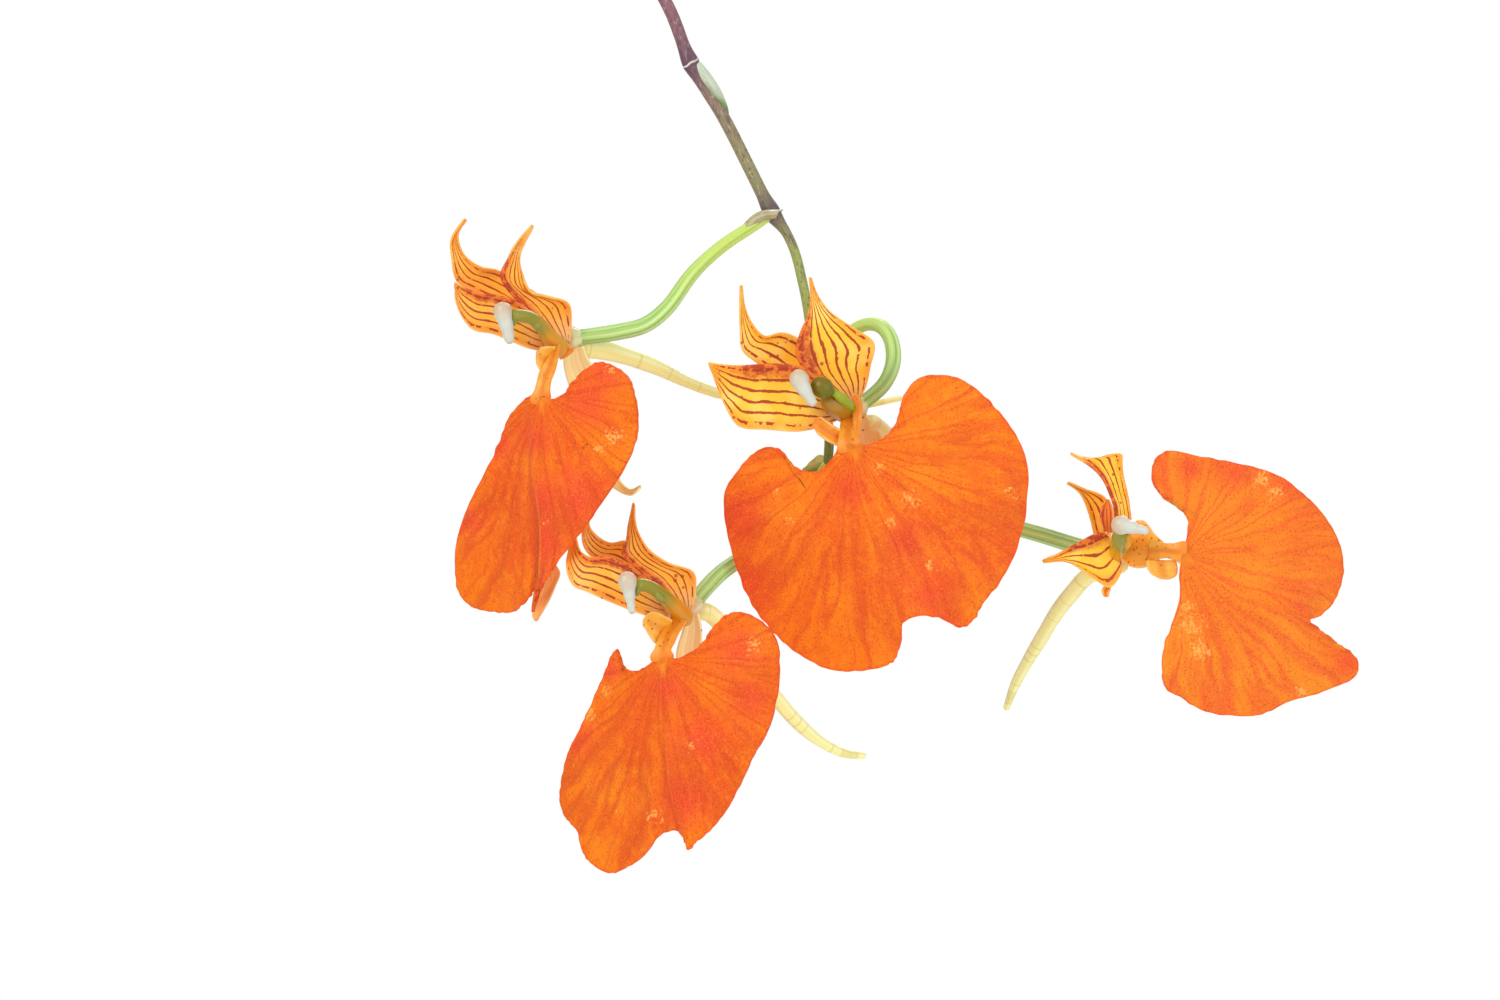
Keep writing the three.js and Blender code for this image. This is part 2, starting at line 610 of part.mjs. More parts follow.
// The growth in the pot
const BULBS = [
  { foot: [12, -4], top: [15, -6], height: 34, radius: 7.2, heading: 28 },
  { foot: [-3, 3], top: [-5, 4], height: 38, radius: 7.8, heading: 118 },
  { foot: [-17, -2], top: [-21, -4], height: 33, radius: 7, heading: 205 },
  { foot: [2, -16], top: [1, -21], height: 30, radius: 6.6, heading: 262 },
  { foot: [-10, 17], top: [-12, 22], height: 27, radius: 6, heading: 158 },
];
const LEAVES = [
  { length: 96, halfWidth: 15, lift: 62, reach: 38, heading: 75 },
  { length: 128, halfWidth: 17, lift: 84, reach: 62, heading: 128 },
  { length: 118, halfWidth: 16, lift: 62, reach: 74, heading: 196 },
  { length: 100, halfWidth: 15, lift: 50, reach: 66, heading: 262 },
  { length: 84, halfWidth: 13, lift: 44, reach: 56, heading: 158 },
];
const ROOTS = [
  [[16, -2, 82], [24, 2, 88], [33, 8, 86], [36, 14, 78], [37, 16, 70]],
  [[0, -22, 81], [-4, -30, 87], [-12, -36, 84], [-16, -37, 77], [-17, -37, 69]],
  [[-20, 6, 81], [-29, 12, 87], [-37, 12, 83], [-39, 9, 76], [-39, 8, 69]],
  [[-2, 12, 81], [4, 22, 88], [8, 32, 85], [6, 38, 77], [4, 39, 69]],
];
const RHIZOME = [[-13, 20, 79], [-8, 8, 80], [-16, -1, 80], [-4, -6, 80], [2, -15, 80], [12, -4, 80]];
const RHIZOME_RADIUS = 3.2;

const bulbTop = ({ top, height }) => new THREE.Vector3(top[0], top[1], BARK_TOP - 4 + height);

function pseudobulbs(grow = 0) {
  const bulbs = BULBS.map((bulb) => {
    const foot = new THREE.Vector3(bulb.foot[0], bulb.foot[1], BARK_TOP - 4);
    const crown = bulbTop(bulb);
    const belly = foot.clone().lerp(crown, 0.45);
    const shape = radii(0.55, 0.98, 1, 0.78, 0.3);
    return stem([foot, belly, crown], (share) => bulb.radius * shape(share), { steps: 6, sides: 7, grow });
  });
  const runner = RHIZOME.map(([x, y, z]) => new THREE.Vector3(x, y, z));
  return fuse([...bulbs, stem(runner, () => RHIZOME_RADIUS, { steps: 8, sides: 5, grow })]);
}

// A leathery leaf: it rises from its bulb, arches over and droops, folded a little on its midrib.
function leaf({ length, halfWidth, lift, reach, heading }, bulb) {
  const turn = heading * Math.PI / 180;
  const out = new THREE.Vector3(Math.cos(turn), Math.sin(turn), 0);
  const side = new THREE.Vector3(-out.y, out.x, 0);
  const base = bulbTop(bulb).add(new THREE.Vector3(0, 0, -1));
  const droop = Math.max(0, length - Math.hypot(lift, reach)) * 0.6;
  const rib = new THREE.CatmullRomCurve3([
    base,
    base.clone().addScaledVector(out, reach * 0.1).add(new THREE.Vector3(0, 0, lift * 0.42)),
    base.clone().addScaledVector(out, reach * 0.42).add(new THREE.Vector3(0, 0, lift * 0.86)),
    base.clone().addScaledVector(out, reach * 0.78).add(new THREE.Vector3(0, 0, lift)),
    base.clone().addScaledVector(out, reach * 1.08).add(new THREE.Vector3(0, 0, lift - droop)),
  ], false, 'centripetal');
  const width = radii(0.16, 0.2, 0.62, 0.95, 1, 0.82, 0.42, 0.05);
  const rungs = Array.from({ length: 8 }, (_, i) => {
    const share = i / 7;
    const middle = rib.getPointAt(share);
    const upward = new THREE.Vector3().crossVectors(rib.getTangentAt(share), side).normalize();
    const half = halfWidth * width(share);
    const fold = half * 0.32;
    const lifted = middle.clone().addScaledVector(upward, fold / 2);
    return [
      lifted.clone().addScaledVector(side, -half),
      lifted.clone().addScaledVector(side, half),
      upward.clone().multiplyScalar(-fold),
    ];
  });
  return ladder(rungs, { rows: 11, columns: 4, thickness: LEAF_THICKNESS });
}

function root(points, grow = 0) {
  const path = points.map(([x, y, z]) => new THREE.Vector3(x, y, z));
  return stem(path, radii(1.3, 1.15, 1.05, 0.9), { steps: 9, sides: 6, grow });
}

// The pot's wall leans out evenly from its base to its rim.
function potWallAt(z) {
  return POT_BASE_RADIUS + (POT_RIM_RADIUS - RIM_BAND_STEP - POT_BASE_RADIUS) * z / POT_HEIGHT;
}

function pot() {
  const bandFoot = POT_HEIGHT - RIM_BAND_HEIGHT;
  const rimInside = POT_RIM_RADIUS - RIM_BAND_STEP - POT_WALL;
  const profile = [
    [0, 0],
    [POT_BASE_RADIUS - POT_EDGE, 0],
    [POT_BASE_RADIUS, POT_EDGE],
    [potWallAt(bandFoot), bandFoot],
    [potWallAt(bandFoot) + RIM_BAND_STEP, bandFoot + POT_EDGE],
    [POT_RIM_RADIUS, POT_HEIGHT - POT_EDGE],
    [POT_RIM_RADIUS - POT_EDGE, POT_HEIGHT],
    [rimInside + POT_EDGE, POT_HEIGHT],
    [rimInside, POT_HEIGHT - POT_EDGE],
    [potWallAt(POT_WALL + 2 * POT_EDGE) - POT_WALL, POT_WALL + 2 * POT_EDGE],
    [potWallAt(0) - POT_WALL - 2 * POT_EDGE, POT_WALL],
    [0, POT_WALL],
  ].map(([r, z]) => new THREE.Vector2(r, z));
  const turned = new THREE.LatheGeometry(profile, 26);
  turned.rotateX(Math.PI / 2);
  const holes = [90, 210, 330].map((degrees) => {
    const hole = new THREE.CylinderGeometry(DRAIN_HOLE_RADIUS, DRAIN_HOLE_RADIUS, 3 * POT_WALL, 12);
    const turn = degrees * Math.PI / 180;
    hole.rotateX(Math.PI / 2);
    hole.translate(DRAIN_HOLE_RING * Math.cos(turn), DRAIN_HOLE_RING * Math.sin(turn), 0);
    return toSolid(hole);
  });
  return toSolid(turned).subtract(fuse(holes));
}

// Coarse bark: a filled bed with angular chips standing out of its top
const CHIP_COUNT = 20;
const CHIP_RING_STEP = 2.39996; // golden angle in radians, which spreads the chips evenly
const CHIP_SIZE = { length: 14, width: 9, depth: 7 };

function seededDraw(seed) {
  let state = seed;
  return () => {
    state = (state * 16807) % 2147483647;
    return state / 2147483647;
  };
}

function bark() {
  const innerAt = (z) => potWallAt(z) - POT_WALL - 3 * GAP;
  const floor = POT_WALL + 2 * POT_EDGE;
  const bedTop = BARK_TOP - CHIP_SIZE.depth / 2;
  const bed = new THREE.LatheGeometry([
    [0, floor], [innerAt(floor), floor], [innerAt(bedTop), bedTop], [0, bedTop + 2],
  ].map(([r, z]) => new THREE.Vector2(r, z)), 24);
  bed.rotateX(Math.PI / 2);
  const draw = seededDraw(4177);
  const chips = Array.from({ length: CHIP_COUNT }, (_, i) => {
    const away = (innerAt(BARK_TOP) - 0.7 * CHIP_SIZE.length) * Math.sqrt((i + 0.5) / CHIP_COUNT);
    const turn = i * CHIP_RING_STEP;
    const chip = new THREE.BoxGeometry(
      CHIP_SIZE.length * (0.7 + 0.5 * draw()),
      CHIP_SIZE.width * (0.7 + 0.5 * draw()),
      CHIP_SIZE.depth * (0.8 + 0.5 * draw()),
    );
    chip.rotateX((draw() - 0.5) * 0.7);
    chip.rotateY((draw() - 0.5) * 0.7);
    chip.rotateZ(draw() * Math.PI);
    chip.translate(away * Math.cos(turn), away * Math.sin(turn), bedTop + 0.6 + 1.4 * draw());
    return toSolid(chip);
  });
  return toSolid(bed).add(fuse(chips));
}

// Finishes
const finish = (color, roughness) => new THREE.MeshStandardMaterial({ color, roughness, metalness: 0 });
const FINISHES = {
  terracotta: finish(0xb5654a, 0.9),
  bark: finish(0x6a4a33, 0.95),
  bulb: finish(0x7f9a4c, 0.5),
  leaf: finish(0x4f7a35, 0.45),
  root: finish(0xc4c6b2, 0.8),
  spike: finish(0x6b5a4a, 0.5),
  bract: finish(0xb9c69a, 0.7),
  pedicel: finish(0x92c45e, 0.45),
  column: finish(0x98922f, 0.4),
  anther_cap: finish(0xf2f0ea, 0.35),
  lip: finish(0xee6a1c, 0.55),
  petal: finish(0xf7a938, 0.5),
  synsepal: finish(0xeccb86, 0.5),
};

// Assembly
const plant = new THREE.Group();

function place(name, solid, material) {
  const mesh = new THREE.Mesh(toGeometry(solid), material);
  mesh.name = name;
  plant.add(mesh);
}

place('pot', pot(), FINISHES.terracotta);
place('pseudobulbs', pseudobulbs(), FINISHES.bulb);
const grownBulbs = pseudobulbs(GAP);
const flowerSpike = largest(spike().subtract(grownBulbs));
place('flower_spike', flowerSpike, FINISHES.spike);
LEAVES.forEach((shape, i) => {
  place(`leaf_${i + 1}`, largest(leaf(shape, BULBS[i]).subtract(grownBulbs)), FINISHES.leaf);
});
ROOTS.forEach((points, i) => {
  place(`root_${i + 1}`, largest(root(points).subtract(grownBulbs)), FINISHES.root);
});
const bedHoles = fuse([grownBulbs, spike(GAP), ...ROOTS.map((points) => root(points, GAP))]);
place('bark_medium', largest(bark().subtract(bedHoles)), FINISHES.bark);

const grownSpike = spike(GAP);
const bracts = { bract_upper: UPPER_BRACT, bract_node: NODE_BRACT, bract_tip: TIP_BRACT };
const allPedicels = fuse(Object.keys(BLOOMS).map((side) => bloomPieces(side).pedicel(GAP)));
for (const [name, rungs] of Object.entries(bracts)) {
  const scale = petal(rungs, { cup: 0.5, rows: 6, columns: 2, thickness: BRACT_THICKNESS });
  place(name, largest(scale.subtract(grownSpike).subtract(allPedicels)), FINISHES.bract);
}

const bloomFinish = {
  pedicel: FINISHES.pedicel,
  column: FINISHES.column,
  anther_cap: FINISHES.anther_cap,
  lip: FINISHES.lip,
  petal_right: FINISHES.petal,
  petal_left: FINISHES.petal,
  dorsal_sepal: FINISHES.petal,
  synsepal: FINISHES.synsepal,
};
const earlierPedicels = [];
for (const side of Object.keys(BLOOMS)) {
  const pieces = bloomPieces(side);
  const cleared = [grownSpike, ...earlierPedicels];
  for (const [piece, build] of Object.entries(pieces)) {
    const body = cleared.reduce((left, neighbour) => left.subtract(neighbour), build(0));
    place(`bloom_${side}_${piece}`, largest(body), bloomFinish[piece]);
    cleared.push(build(GAP));
  }
  earlierPedicels.push(pieces.pedicel(GAP));
}

export default plant;
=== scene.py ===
"""The looks of a potted comparettia speciosa, modelled around its packed construction model.

Everything is in metres in the construction model's frame: the pot's base is at the origin, +Z is up,
and the blooms hang to the right, facing the camera along -Y.
"""

import logging
import math
from collections.abc import Callable, Iterator, Sequence
from contextlib import contextmanager
from dataclasses import dataclass
from enum import Enum
from functools import cached_property

import bpy
import numpy as np
from mathutils import Matrix, Vector


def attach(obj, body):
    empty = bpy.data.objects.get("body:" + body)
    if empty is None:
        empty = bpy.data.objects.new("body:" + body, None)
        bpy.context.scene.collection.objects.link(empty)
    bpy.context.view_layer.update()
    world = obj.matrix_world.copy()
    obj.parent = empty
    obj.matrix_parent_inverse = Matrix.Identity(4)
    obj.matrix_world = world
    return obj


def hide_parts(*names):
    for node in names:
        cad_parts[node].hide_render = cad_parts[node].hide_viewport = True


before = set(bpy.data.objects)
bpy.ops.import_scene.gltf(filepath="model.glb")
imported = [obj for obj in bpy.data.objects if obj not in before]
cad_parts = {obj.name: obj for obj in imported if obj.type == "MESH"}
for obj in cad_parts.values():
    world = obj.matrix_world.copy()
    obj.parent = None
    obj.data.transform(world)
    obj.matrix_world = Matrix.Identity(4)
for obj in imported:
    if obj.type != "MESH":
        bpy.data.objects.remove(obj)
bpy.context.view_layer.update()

LOG = logging.getLogger("comparettia")
BODY = "root"
MM = 0.001
TURN = 2 * math.pi
SEAM_REACH = 1e-7
SOFT_EDGE = 80.0

# The front view is 1500 units wide and 1000 high. Outlines of the blooms are given as seen from the
# front, in units across and down from its top left corner, with depths in millimetres.
UNIT = 0.12 * MM
VIEW_UNITS = (1500.0, 1000.0)
VIEW_MIDDLE = (0.175, 0.150)
VIEW_DISTANCE = 1.0
LENS_MM = 200.0
SENSOR_MM = 36.0

# A stop holds its place across and down and its depth. A rung of a blade holds its left edge across and
# down, its right edge across and down, and its depth. A spot holds its place across and down and a radius.
Piece = bpy.types.Object
Material = bpy.types.Material
Socket = bpy.types.NodeSocket
Rgb = tuple[int, int, int]
Pair = tuple[float, float]
Stop = tuple[float, float, float]
Rung = tuple[float, float, float, float, float]
Spot = tuple[float, float, float]
Points = np.ndarray
Shares = np.ndarray
Profile = Callable[[Shares], np.ndarray]
Place = Callable[[Shares, Shares], Points]


# Curves and surfaces


def in_view(x: np.ndarray, z: np.ndarray, depth: np.ndarray) -> Points:
    """Draws points in towards the view's middle, as nearer ones look larger.

    Args:
        x: Places across, in metres, as seen at the spike's depth.
        z: Heights, in metres, as seen at the spike's depth.
        depth: Metres behind the spike.

    Returns:
        One row of x, y and z for each point.
    """
    scale = (VIEW_DISTANCE + depth) / VIEW_DISTANCE
    across = VIEW_MIDDLE[0] + (x - VIEW_MIDDLE[0]) * scale
    up = VIEW_MIDDLE[1] + (z - VIEW_MIDDLE[1]) * scale
    return np.column_stack([across, depth, up])


def flat(points: Sequence[Pair]) -> Points:
    """Gives the x and z of points of the front view, in metres, at the spike's depth.

    Args:
        points: Places across and down.

    Returns:
        One row of x and z for each.
    """
    array = np.atleast_2d(np.asarray(points, float))
    x = VIEW_MIDDLE[0] + (array[:, 0] - VIEW_UNITS[0] / 2) * UNIT
    z = VIEW_MIDDLE[1] - (array[:, 1] - VIEW_UNITS[1] / 2) * UNIT
    return np.column_stack([x, z])


def seen(points: Sequence[Pair], depth: np.ndarray) -> Points:
    """Places points of the front view at their depths in metres."""
    places = flat(points)
    return in_view(places[:, 0], places[:, 1], depth)


def route(stops: Sequence[Stop]) -> Points:
    """Places stops of across, down and depth in millimetres."""
    array = np.asarray(stops, float)
    return seen(array[:, :2], array[:, 2] * MM)


def smooth_run(stops: Points, shares: Shares, closed: bool = False) -> Points:
    """Follows a centripetal Catmull-Rom curve.

    Args:
        stops: The points that the curve passes through.
        shares: Places along it, from 0 to 1, evenly spaced from stop to stop.
        closed: Whether the last stop runs on to the first.

    Returns:
        One point for each share.
    """
    stops = np.asarray(stops, float)
    count = len(stops)
    place = np.asarray(shares, float) * (count if closed else count - 1)
    span = np.clip(np.floor(place).astype(int), 0, count - (1 if closed else 2))
    part = (place - span)[:, None]
    if closed:
        four = [stops[(span + i) % count] for i in (-1, 0, 1, 2)]
    else:
        longer = np.vstack([2 * stops[0] - stops[1], stops, 2 * stops[-1] - stops[-2]])
        four = [longer[span + i] for i in range(4)]
    gaps = [np.sqrt(np.linalg.norm(b - a, axis=1, keepdims=True)) for a, b in zip(four, four[1:])]
    before, here, after = (np.maximum(gap, 1e-5) for gap in gaps)
    a, b, c, d = four
    leave = ((b - a) / before - (c - a) / (before + here) + (c - b) / here) * here
    reach = ((c - b) / here - (d - b) / (here + after) + (d - c) / after) * here
    bend = (3 * (c - b) - 2 * leave - reach) * part**2
    return b + leave * part + bend + (2 * (b - c) + leave + reach) * part**3


def even_run(stops: Points, shares: Shares) -> tuple[Points, float]:
    """Follows the same curve by its length.

    Args:
        stops: The points that the curve passes through.
        shares: Places along it, as shares of its length.

    Returns:
        One point for each share, and the curve's length.
    """
    fine = np.linspace(0, 1, 40 * len(stops))
    steps = np.linalg.norm(np.diff(smooth_run(stops, fine), axis=0), axis=1)
    walked = np.concatenate([[0], np.cumsum(steps)])
    return smooth_run(stops, np.interp(shares, walked / walked[-1], fine)), float(walked[-1])


def at_shares(share: Shares, known: Shares, rows: Points) -> Points:
    """Reads rows of points at shares between those that are known."""
    return np.column_stack([np.interp(share, known, axis) for axis in rows.T])


def through(*values: float) -> Profile:
    """Makes a function that passes smoothly through values evenly spaced from 0 to 1.

    Args:
        values: What it passes through.

    Returns:
        The function.
    """

    def at(share: Shares) -> np.ndarray:
        """Gives the value at each share.

        Args:
            share: Places from 0 to 1.

        Returns:
            The values there.
        """
        last = len(values) - 1
        place = np.clip(np.asarray(share, float), 0, 1) * last
        span = np.minimum(place.astype(int), last - 1)
        part = place - span
        eased = part * part * (3 - 2 * part)
        known = np.asarray(values, float)
        return known[span] + (known[span + 1] - known[span]) * eased

    return at


def smooth_step(low: float, high: float, value: np.ndarray) -> np.ndarray:
    """Rises smoothly from 0 at low to 1 at high."""
    part = np.clip((value - low) / (high - low), 0, 1)
    return part * part * (3 - 2 * part)


def hump(value: np.ndarray, width: float) -> np.ndarray:
    """Gives a soft bump about 0 that is 1 in its middle."""
    return np.exp(-((value / width) ** 2))


def unit(vectors: Points) -> Points:
    """Scales each vector to a length of 1."""
    return vectors / np.linalg.norm(vectors, axis=-1, keepdims=True)


@dataclass(frozen=True)
class Swell:
    """A gentle, seeded unevenness: a sum of a few waves across a surface."""

    seed: int
    length: float
    waves: int = 5

    def at(self, x: np.ndarray, y: np.ndarray) -> np.ndarray:
        """Measures the swell.

        Args:
            x: First coordinates, in the unit of length.
            y: Second coordinates.

        Returns:
            Heights between about -1 and 1.
        """
        draw = np.random.default_rng(self.seed)
        total = np.zeros_like(np.asarray(x, float))
        for _ in range(self.waves):
            heading, phase = draw.uniform(0, TURN, 2)
            pitch = TURN / (self.length * draw.uniform(0.7, 1.6))
            total += np.sin(pitch * (x * math.cos(heading) + y * math.sin(heading)) + phase)
        return total / math.sqrt(2 * self.waves)


# Blender's tools


def deselect() -> None:
    """Leaves nothing selected and nothing active."""
    for thing in bpy.context.selected_objects:
        thing.select_set(False)
    bpy.context.view_layer.objects.active = None


def pick(*pieces: Piece) -> None:
    """Selects these objects alone, the first as the active one.

    Args:
        pieces: The objects.
    """
    deselect()
    for piece in pieces:
        piece.select_set(True)
    bpy.context.view_layer.objects.active = pieces[0]


@contextmanager
def editing(piece: Piece) -> Iterator[None]:
    """Opens a piece in edit mode with all of it selected.

    Args:
        piece: The object.

    Yields:
        Nothing, for as long as it is open.
    """
    pick(piece)
    bpy.ops.object.mode_set(mode="EDIT")
    bpy.ops.mesh.select_all(action="SELECT")
    yield
    bpy.ops.object.mode_set(mode="OBJECT")


def close_seams(piece: Piece) -> None:
    """Merges the points that meet, then turns every face outwards.

    Args:
        piece: The object.
    """
    with editing(piece):
        bpy.ops.mesh.remove_doubles(threshold=SEAM_REACH)
        bpy.ops.mesh.select_all(action="SELECT")
        bpy.ops.mesh.normals_make_consistent(inside=False)


def modify(piece: Piece, kind: str, **settings: object) -> None:
    """Adds one modifier to a piece and applies it.

    Args:
        piece: The object that is changed.
        kind: The modifier's type, such as SOLIDIFY.
        settings: Its settings by name.
    """
    pick(piece)
    modifier = piece.modifiers.new(kind.title(), kind)
    for name, value in settings.items():
        setattr(modifier, name, value)
    bpy.ops.object.modifier_apply(modifier=modifier.name)


def smooth_shade(piece: Piece, angle: float) -> None:
    """Shades a piece smoothly, except over edges sharper than an angle in degrees."""
    pick(piece)
    bpy.ops.object.shade_smooth_by_angle(angle=math.radians(angle))


def fresh(name: str) -> Piece:
    """Names the primitive that was just added.

    Args:
        name: The name.

    Returns:
        The new object.
    """
    piece = bpy.context.object
    piece.name = piece.data.name = name
    return piece


def join(name: str, pieces: Sequence[Piece]) -> Piece:
    """Joins several objects in one.

    Args:
        name: The joined object's name.
        pieces: What it is made of.

    Returns:
        The joined object.
    """
    pick(*pieces)
    if len(pieces) > 1:
        bpy.ops.object.join()
    joined = bpy.context.view_layer.objects.active
    joined.name = joined.data.name = name
    return joined


def dress(piece: Piece, *finishes: Material) -> None:
    """Gives a piece its materials, the first for its front and the second for its back.

    Args:
        piece: The object.
        finishes: Its materials.
    """
    piece.data.materials.clear()
    for finish in finishes:
        piece.data.materials.append(finish)


def seat(piece: Piece, slot: str, *nodes: str) -> None:
    """Puts a finished piece in the place of its construction nodes.

    Args:
        piece: The finished object.
        slot: The record's material slot; not used.
        nodes: The nodes that it stands for.
    """
    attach(piece, BODY)
    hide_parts(*nodes)
    LOG.info("%s: %d faces, for %s", piece.name, len(piece.data.polygons), ", ".join(nodes))


def add_map(piece: Piece, name: str, values: np.ndarray) -> None:
    """Adds a UV map with one pair of values for each vertex.

    Args:
        piece: The object.
        name: The map's name.
        values: One row for each vertex.
    """
    corners = np.empty(len(piece.data.loops), np.int32)
    piece.data.loops.foreach_get("vertex_index", corners)
    layer = piece.data.uv_layers.new(name=name)
    layer.data.foreach_set("uv", values[corners].astype(np.float32).ravel())


def add_values(piece: Piece, name: str, values: np.ndarray) -> None:
    """Keeps one number for each vertex under a name."""
    layer = piece.data.attributes.new(name, "FLOAT", "POINT")
    layer.data.foreach_set("value", np.asarray(values, np.float32))


def vertices_of(piece: Piece) -> Points:
    """Reads a mesh's vertices, one row each.

    Args:
        piece: The object.

    Returns:
        Their places, in metres.
    """
    points = np.empty(len(piece.data.vertices) * 3, np.float32)
    piece.data.vertices.foreach_get("co", points)
    return points.reshape(-1, 3).astype(float)


def lay_grid(name: str, across: int, along: int, place: Place) -> Piece:
    """Lays a grid over a surface. Its own UV map keeps the shares across and along.

    Args:
        name: The new object's name.
        across: Faces across the grid.
        along: Faces along it.
        place: Gives the points of a surface for shares across and along.

    Returns:
        The new object.
    """
    deselect()
    bpy.ops.mesh.primitive_grid_add(x_subdivisions=across, y_subdivisions=along, size=1)
    piece = fresh(name)
    piece.data.uv_layers[0].name = "Shares"
    points = vertices_of(piece)
    moved = place(points[:, 0] + 0.5, points[:, 1] + 0.5)
    piece.data.vertices.foreach_set("co", np.asarray(moved, np.float32).ravel())
    piece.data.update()
    return piece


def draw_up(name: str, sides: int, steps: Sequence[Pair]) -> Piece:
    """Throws a round body: a disc is drawn up from step to step, as on a wheel.

    Args:
        name: The new object's name.
        sides: Faces round it.
        steps: Radius and height of each step in millimetres, from the base on.

    Returns:
        The closed body.
    """
    deselect()
    first, low = steps[0]
    bpy.ops.mesh.primitive_circle_add(
        vertices=sides, radius=first * MM, fill_type="NGON", location=(0, 0, low * MM)
    )
    body = fresh(name)
    with editing(body):
        bpy.ops.mesh.flip_normals()
        for (radius, height), (wider, higher) in zip(steps, steps[1:]):
            rise = (0, 0, (higher - height) * MM)
            bpy.ops.mesh.extrude_region_move(TRANSFORM_OT_translate={"value": rise})
            grow = wider / radius
            bpy.ops.transform.resize(value=(grow, grow, 1), center_override=(0, 0, higher * MM))
    bpy.ops.object.transform_apply()
    close_seams(body)
    return body


def face_towards(piece: Piece, heading: Stop) -> None:
    """Turns an open sheet over where its front looks away from a heading.

    Args:
        piece: The sheet.
        heading: The way it should face.
    """
    normals = np.empty(len(piece.data.polygons) * 3, np.float32)
    piece.data.polygons.foreach_get("normal", normals)
    if float((normals.reshape(-1, 3) @ np.asarray(heading)).sum()) < 0:
        with editing(piece):
            bpy.ops.mesh.flip_normals()


def thicken(piece: Piece, thickness: float, rounding: int = 1) -> None:
    """Gives a sheet its thickness, its back's own material, and a soft edge.

    Args:
        piece: The open sheet.
        thickness: Its thickness in millimetres.
        rounding: How often its faces are divided to soften the edge.
    """
    modify(piece, "SOLIDIFY", thickness=thickness * MM, offset=0, material_offset=1, material_offset_rim=0)
    if rounding:
        modify(piece, "SUBSURF", levels=rounding, render_levels=rounding)
    smooth_shade(piece, SOFT_EDGE)


@dataclass
class Stem:
    """A round stem along a route: a stalk, spur, root, column or cap.

    Radii are in millimetres, the route in metres.
    """

    name: str
    stops: Points
    radius: Sequence[float] | Profile
    finish: Material
    rings: int
    sides: int
    ribs: int = 0
    rib_depth: float = 0.0
    twist: float = 0.0
    flatness: float = 1.0
    lead: Stop = (0.0, 1.0, 0.0)

    def __post_init__(self) -> None:
        """Reads a list of radii as evenly spaced along the route."""
        if not callable(self.radius):
            self.radius = through(*self.radius)

    def stations(self, length: float) -> tuple[Shares, np.ndarray]:
        """Lists the rings from one rounded end to the other.

        Args:
            length: The route's length in metres.

        Returns:
            Each ring's share of the length, and its radius in metres.
        """
        arcs = np.radians([0, 25, 50, 75])
        first, last = self.radius(np.array([0.0, 1.0])) * MM
        start = first / length * (1 - np.cos(arcs))
        stop = 1 - last / length * (1 - np.cos(arcs[::-1]))
        middle = np.linspace(first / length, 1 - last / length, self.rings)
        radii = [first * np.sin(arcs), self.radius(middle) * MM, last * np.sin(arcs[::-1])]
        return np.concatenate([start, middle, stop]), np.concatenate(radii)

    def frames(self, centres: Points) -> tuple[Points, Points]:
        """Carries a pair of cross directions along the route without twist.

        Args:
            centres: Evenly spaced points of the route.

        Returns:
            Two rows of unit directions, each square to the route.
        """
        tangents = unit(np.gradient(centres, axis=0))
        side = np.asarray(self.lead, float)
        sides = []
        for tangent in tangents:
            side = unit(side - tangent * (side @ tangent))
            sides.append(side)
        first = np.array(sides)
        return first, np.cross(tangents, first)

    def build(self) -> Piece:
        """Rolls a grid up round the route.

        Returns:
            The closed stem. Its map's first share runs round it and the second along it.
        """
        fine = np.linspace(0, 1, 20 * len(self.stops))
        points, length = even_run(self.stops, fine)
        rows = (points, *self.frames(points))
        shares, radii = self.stations(length)
        along = len(shares) - 1

        def place(u: Shares, v: Shares) -> Points:
            """Finds the points of one ring after another.

            Args:
                u: Shares across the grid.
                v: Shares along it.

            Returns:
                One point for each pair of shares.
            """
            ring = np.rint(v * along).astype(int)
            share = np.clip(shares[ring], 0, 1)
            centre, one, two = (at_shares(share, fine, row) for row in rows)
            turn = TURN * u
            relief = 1 + self.rib_depth * np.cos(self.ribs * turn + TURN * self.twist * share)
            size = (radii[ring] * relief)[:, None]
            out = one * np.cos(turn)[:, None] * self.flatness + two * np.sin(turn)[:, None]
            return centre + size * out

        piece = lay_grid(self.name, self.sides, along, place)
        layer = piece.data.uv_layers["Shares"].data
        uv = np.empty(len(layer) * 2, np.float32)
        layer.foreach_get("uv", uv)
        uv = uv.reshape(-1, 2)
        uv[:, 1] = np.interp(uv[:, 1], np.linspace(0, 1, along + 1), shares)
        layer.foreach_set("uv", uv.ravel())
        close_seams(piece)
        smooth_shade(piece, SOFT_EDGE)
        dress(piece, self.finish)
        return piece


